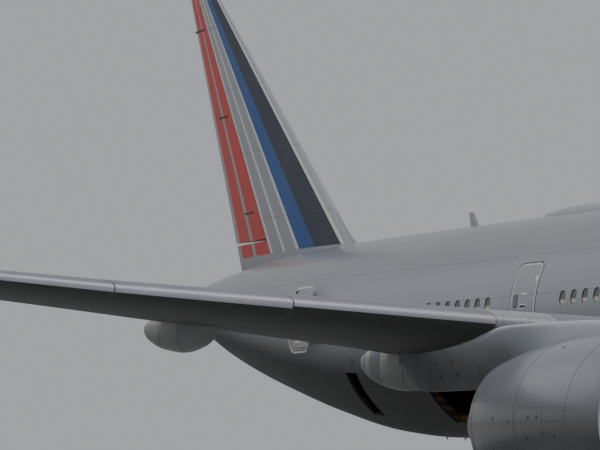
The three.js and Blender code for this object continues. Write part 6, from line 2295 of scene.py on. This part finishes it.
# Blade antennas: station, side of the centre line, height above or below the skin, length and lean aft.
ANTENNAS = [(12.9, 0, 0.42, 0.42, 0.20), (20.2, 0, 0.34, 0.36, 0.16), (43.8, 0, 0.50, 0.50, 0.24),
            (27.0, 0, 0.20, 0.30, 0.10)]
BELLY_ANTENNAS = [(13.6, 0.0, 0.34, 0.34, 0.16), (16.0, 0.4, 0.22, 0.22, 0.10),
                  (41.4, 0.0, 0.16, 0.16, 0.08), (43.6, 0.0, 0.18, 0.16, 0.08),
                  (44.25, 0.0, 0.11, 0.10, 0.05), (45.3, 0.0, 0.11, 0.09, 0.04)]


class AIRLINER_OT_small_parts(bpy.types.Operator):
    """Crown radome, antennas, lamps and static wicks"""
    bl_idname = "airliner.small_parts"
    bl_label = "Small parts"

    def execute(self, context):
        self.radome()
        blank = Blank()
        for rows, edge, way in ((ANTENNAS, "top", 1), (BELLY_ANTENNAS, "bottom", -1)):
            for station, side, height, length, lean in rows:
                foot = AXIS + float(BODY(edge, station)) - way * 0.03
                self.mast(blank, (side, station, foot), way * height, length, lean)
        blank.make("antenna_masts", ("radome_grey", "marking_black"), "root", "radome_paint", sharp=40)
        self.lamps()
        self.wicks()
        return {"FINISHED"}

    def radome(self):
        """The long shallow hump on the crown."""
        r = CROWN_RADOME
        blank = Blank()
        rings = []
        angles = np.linspace(-0.25, math.pi + 0.25, 29)
        top = AXIS + BODY_RADIUS - 0.1
        for t in np.linspace(-1, 1, 41):
            shift = math.sin(t * math.pi / 2)
            size = math.sqrt(max(0.0004, 1 - abs(shift) ** 2.4))
            station = np.full(len(angles), r.station + shift * r.length / 2)
            rings.append(np.stack([r.half * size * np.cos(angles), station,
                                   top + (r.rise + 0.1) * size * np.sin(angles)], -1))
        blank.loft(rings, 0)
        blank.make("crown_radome_shell", ("radome_grey",), "root", "radome_paint", ["crown_radome"], sharp=60)

    def mast(self, blank, base, height, length, lean):
        """A thin swept blade with a foot plate."""
        base = np.array(base, float)
        way = circle(16)
        rings = []
        for share in (0, 0.06, 0.5, 0.9, 0.985, 1.0):
            chord = length * (1 - 0.45 * share) * (0.9 if share == 1.0 else 1.0)
            thick = 0.022 * (1 - 0.3 * share) * (0.4 if share == 1.0 else 1.0)
            rings.append(base + np.stack([thick * np.sin(way), chord / 2 * np.cos(way) + lean * share,
                                          np.full(16, height * share)], -1))
        blank.loft(rings, 0)
        blank.block(base - [0.05, length * 0.6, 0.04], base + [0.05, length * 0.6, 0.03], 0.02, 0)

    def lamps(self):
        """Beacons, wing tip lamps, landing lamps and the tail lamp."""
        blank = Blank()
        beacon = ((-0.02, 0.10), (0.03, 0.10), (0.05, 0.085), (0.10, 0.07), (0.14, 0.04), (0.15, 0.0))
        for station, up, way in ((27.5, 3.1, 1), (30.0, -3.80, -1)):
            outline = [(way * along, radius) for along, radius in beacon]
            blank.turned(outline, (0, station, AXIS + up), "up", 32, 1)
        for side, paint in ((1, 1), (-1, 2)):
            rings = []
            for t in np.linspace(0, 1, 8):
                span = 29.75 + 0.36 * t
                station = float(WING.at("lead", span)) + 0.10
                half = float(WING.half(span, station)) + 0.006
                limit = 1.3
                turns = np.linspace(-limit, limit, 9)
                bulge = -0.11 * np.cos(turns) + 0.01
                rings.append(WING.place(span, station, 0.0)
                             + np.stack([0 * turns, bulge, half * np.sin(turns) / math.sin(limit)], -1))
            lens = Blank()
            lens.loft(rings, paint)
            blank.join(lens if side > 0 else lens.mirrored())
        for side in (1, -1):
            lens = Blank()
            for span in (3.75, 4.19):
                centre = WING.place(span, float(WING.at("lead", span)) + 0.10, 0.0)
                lens.bar(centre - [0, 0.13, 0], centre + [0, 0.05, 0], 0.075, sides=24, paint=0)
            blank.join(lens if side > 0 else lens.mirrored())
        blank.bar((0, TAIL_END - 0.9, AXIS + 2.25), (0, TAIL_END + 0.12, AXIS + 2.20), 0.05, 0.03, 16, 0)
        blank.make("position_lamps", ("lamp_clear", "lamp_red", "lamp_green"), "root", "lamp_glass", sharp=40)

    def wicks(self):
        """Static wicks along the trailing edges, each on the surface that carries it."""
        for name, surface, body, places in (
                ("aileron", WING, "aileron", (23.6, 25.4, 27.4)),
                ("elevator", STABILISER, "elevator", (5.0, 6.8, 8.6, 9.8)),
                ("wing_tip", WING, "root", (28.8, 29.3, 29.9)),
                ("stabiliser_tip", STABILISER, "root", (10.3, 10.55))):
            blank = Blank()
            for span in places:
                trail = float(surface.at("trail", span))
                base = surface.place(span, trail - 0.03, 0.0)
                reach = min(0.16, LENGTH - 0.02 - trail) if surface is STABILISER else 0.16
                blank.bar(base, base + [0, max(reach, 0.03), 0.0], 0.009, 0.005, 8, 0)
            both_sides(blank, f"{name}_wicks", ("marking_black",), body, "body_paint", [], weld=0)
        blank = Blank()
        for span in (5.5, 7.5, 9.5, 11.4):
            trail = float(FIN.at("trail", span))
            base = np.array([0, trail - 0.03, AXIS + span])
            blank.bar(base, base + [0, 0.16, 0.02], 0.009, 0.005, 8, 0)
        blank.make("rudder_wicks", ("marking_black",), "rudder", "body_paint", weld=0)


class AIRLINER_OT_stage(bpy.types.Operator):
    """Pale floor, soft lights and the camera"""
    bl_idname = "airliner.stage"
    bl_label = "Studio"

    def execute(self, context):
        setup = context.scene.airliner_studio
        radii, count = (20, 45, 80, 140, 260, 500), 64
        points, faces = [(0, 0, 0)], []
        for radius in radii:
            points += [(radius * math.cos(a), radius * math.sin(a), 0) for a in circle(count)]
        for i in range(count):
            after = (i + 1) % count
            faces.append((0, 1 + i, 1 + after))
            for ring in range(len(radii) - 1):
                a = 1 + ring * count
                faces.append((a + i, a + count + i, a + count + after, a + after))
        mesh = bpy.data.meshes.new("studio_floor")
        mesh.from_pydata(points, [], faces)
        mesh.materials.append(bpy.data.materials["studio_floor"])
        floor = bpy.data.objects.new("studio_floor", mesh)
        context.scene.collection.objects.link(floor)
        self.light("key_panel", setup.key, 56, (-20, -14, 58), (0, 0, 2), (1.0, 0.99, 0.97))
        self.light("fill_panel", setup.fill, 40, (-30, 44, 30), (0, 8, 3), (0.93, 0.96, 1.0))
        self.light("rim_panel", setup.rim, 34, (44, 20, 40), (0, 4, 4), (0.95, 0.97, 1.0))
        world = bpy.data.worlds.new("studio_air")
        world.use_nodes = True
        sky = world.node_tree.nodes["Background"]
        sky.inputs["Color"].default_value = (0.86, 0.90, 0.95, 1)
        sky.inputs["Strength"].default_value = setup.air
        context.scene.world = world
        self.camera(context.scene, setup)
        return {"FINISHED"}

    def light(self, name, watts, size, place, aim, colour):
        """One round soft light."""
        data = bpy.data.lights.new(name, "AREA")
        data.shape, data.size, data.energy, data.color = "DISK", size, watts, colour
        lamp_object = bpy.data.objects.new(name, data)
        lamp_object.location = place
        lamp_object.rotation_euler = (Vector(aim) - Vector(place)).to_track_quat("-Z", "Y").to_euler()
        bpy.context.scene.collection.objects.link(lamp_object)

    def camera(self, scene, setup):
        """The camera of the photograph, aimed by three angles."""
        yaw, pitch, roll = (getattr(setup, name) for name in ("yaw", "pitch", "roll"))
        data = bpy.data.cameras.new("photo_camera")
        data.lens, data.sensor_width = setup.lens, 36
        data.clip_end = 2000
        camera = bpy.data.objects.new("photo_camera", data)
        camera.location = setup.place
        ahead = Vector((math.sin(yaw) * math.cos(pitch), math.cos(yaw) * math.cos(pitch), math.sin(pitch)))
        right = ahead.cross(Vector((0, 0, 1))).normalized()
        above = right.cross(ahead)
        tilted_right = math.cos(roll) * right + math.sin(roll) * above
        tilted_up = -math.sin(roll) * right + math.cos(roll) * above
        frame_axes = Matrix((tilted_right, tilted_up, -ahead)).transposed()
        camera.rotation_euler = frame_axes.to_euler()
        scene.collection.objects.link(camera)
        scene.camera = camera


class AIRLINER_OT_finishes(bpy.types.Operator):
    """Paints, alloys, rubber and glass, made from the chosen colours"""
    bl_idname = "airliner.finishes"
    bl_label = "Finishes"

    def execute(self, context):
        mix_finishes(context.scene.airliner_paints)
        return {"FINISHED"}


class AIRLINER_sizes(bpy.types.PropertyGroup):
    window_width: FloatProperty(name="Window width", description="Width of a cabin window, full size",
                                default=0.28, min=0.2, max=0.4, unit="LENGTH")
    window_height: FloatProperty(name="Window height", description="Height of a cabin window, full size",
                                 default=0.38, min=0.25, max=0.5, unit="LENGTH")
    window_depth: FloatProperty(name="Window depth", description="Depth of a pane behind the skin, full size",
                                default=0.022, min=0.01, max=0.1, unit="LENGTH")
    door_frame: FloatProperty(name="Door frame", description="Width of the line round a door, full size",
                              default=0.055, min=0.02, max=0.15, unit="LENGTH")
    fan_blades: IntProperty(name="Fan blades", description="Number of blades on each fan",
                            default=18, min=12, max=36)
    tread_grooves: IntProperty(name="Tread grooves", description="Grooves round each tyre",
                               default=4, min=2, max=8)


def colour_property(name, description, default):
    """A colour that can be picked in the panel."""
    return FloatVectorProperty(name=name, description=description, default=default, size=3, min=0, max=1,
                               subtype="COLOR")


class AIRLINER_paints(bpy.types.PropertyGroup):
    silver: colour_property("Body silver", "Paint of the fuselage", (0.284, 0.297, 0.315))
    undersides_grey_and_shade: colour_property("Wing grey", "Paint of the wings' undersides", (0.050, 0.050, 0.050))
    # Partly the wings' real underside paint and partly painted shade; the tail and the track fairings take
    # their painted shade from it too.
    nacelle: colour_property("Nacelle grey", "Paint of the nacelles and pylons", (0.215, 0.228, 0.245))
    white: colour_property("White", "White of the fin's bands and of the door frames", (0.50, 0.51, 0.50))
    navy: colour_property("Navy", "Darkest band of the fin", (0.020, 0.024, 0.040))
    blue: colour_property("Blue", "Blue band of the fin", (0.016, 0.070, 0.22))
    red: colour_property("Red", "Red bands of the fin", (0.46, 0.040, 0.030))
    pale: colour_property("Pale grey", "Pale bands of the fin", (0.27, 0.275, 0.285))
    floor: colour_property("Floor", "The studio floor", (0.50, 0.50, 0.495))


class AIRLINER_studio(bpy.types.PropertyGroup):
    key: FloatProperty(name="Key panel", description="Strength of the main soft light",
                       default=22000, min=0)
    fill: FloatProperty(name="Fill panel", description="Strength of the soft light on the rear",
                        default=1300, min=0)
    rim: FloatProperty(name="Rim panel", description="Strength of the soft light on the far side",
                       default=9000, min=0)
    air: FloatProperty(name="Surround", description="Strength of the even light from all round",
                       default=0.475, min=0)
    place: FloatVectorProperty(name="Camera place", description="Where the camera stands",
                               default=(-22.38, -30.94, 0.685), size=3, subtype="TRANSLATION", unit="LENGTH")
    yaw: FloatProperty(name="Camera yaw", description="Turn from straight aft towards port",
                       default=math.radians(27.79), subtype="ANGLE", unit="ROTATION")
    pitch: FloatProperty(name="Camera pitch", description="Tilt above level", default=math.radians(5.0),
                         subtype="ANGLE", unit="ROTATION")
    roll: FloatProperty(name="Camera roll", description="Roll about the line of sight",
                        default=math.radians(0.75), subtype="ANGLE", unit="ROTATION")
    lens: FloatProperty(name="Focal length", description="Focal length of the camera in mm",
                        default=175.9, min=10)


# Every piece in the order in which it is made; the finishes come first and the studio last.
STEPS = ("finishes", "fuselage", "doors", "windscreen", "wings", "tail", "engines", "canoes", "main_gear",
         "nose_gear", "small_parts", "stage")


class AIRLINER_PT_panel(bpy.types.Panel):
    """Sizes, colours and pieces of the airliner"""
    bl_idname = "AIRLINER_PT_panel"
    bl_label = "Wide Body Airliner"
    bl_space_type = "VIEW_3D"
    bl_region_type = "UI"
    bl_category = "Airliner"

    def draw(self, context):
        for key in GROUPS:
            group = getattr(context.scene, key)
            box = self.layout.box()
            for name in group.__annotations__:
                box.prop(group, name)
        for step in STEPS:
            self.layout.operator(f"airliner.{step}")


GROUPS = {"airliner_sizes": AIRLINER_sizes, "airliner_paints": AIRLINER_paints,
          "airliner_studio": AIRLINER_studio}
CLASSES = (*GROUPS.values(), AIRLINER_OT_finishes, AIRLINER_OT_fuselage, AIRLINER_OT_doors,
           AIRLINER_OT_windscreen, AIRLINER_OT_wings, AIRLINER_OT_tail, AIRLINER_OT_engines,
           AIRLINER_OT_canoes, AIRLINER_OT_main_gear, AIRLINER_OT_nose_gear, AIRLINER_OT_small_parts,
           AIRLINER_OT_stage, AIRLINER_PT_panel)


def register():
    for cls in CLASSES:
        bpy.utils.register_class(cls)
    for name, group in GROUPS.items():
        setattr(bpy.types.Scene, name, PointerProperty(type=group))


def unregister():
    for name in GROUPS:
        delattr(bpy.types.Scene, name)
    for cls in reversed(CLASSES):
        bpy.utils.unregister_class(cls)


def main():
    register()
    for step in STEPS:
        getattr(bpy.ops.airliner, step)()


if __name__ == "__main__":
    main()
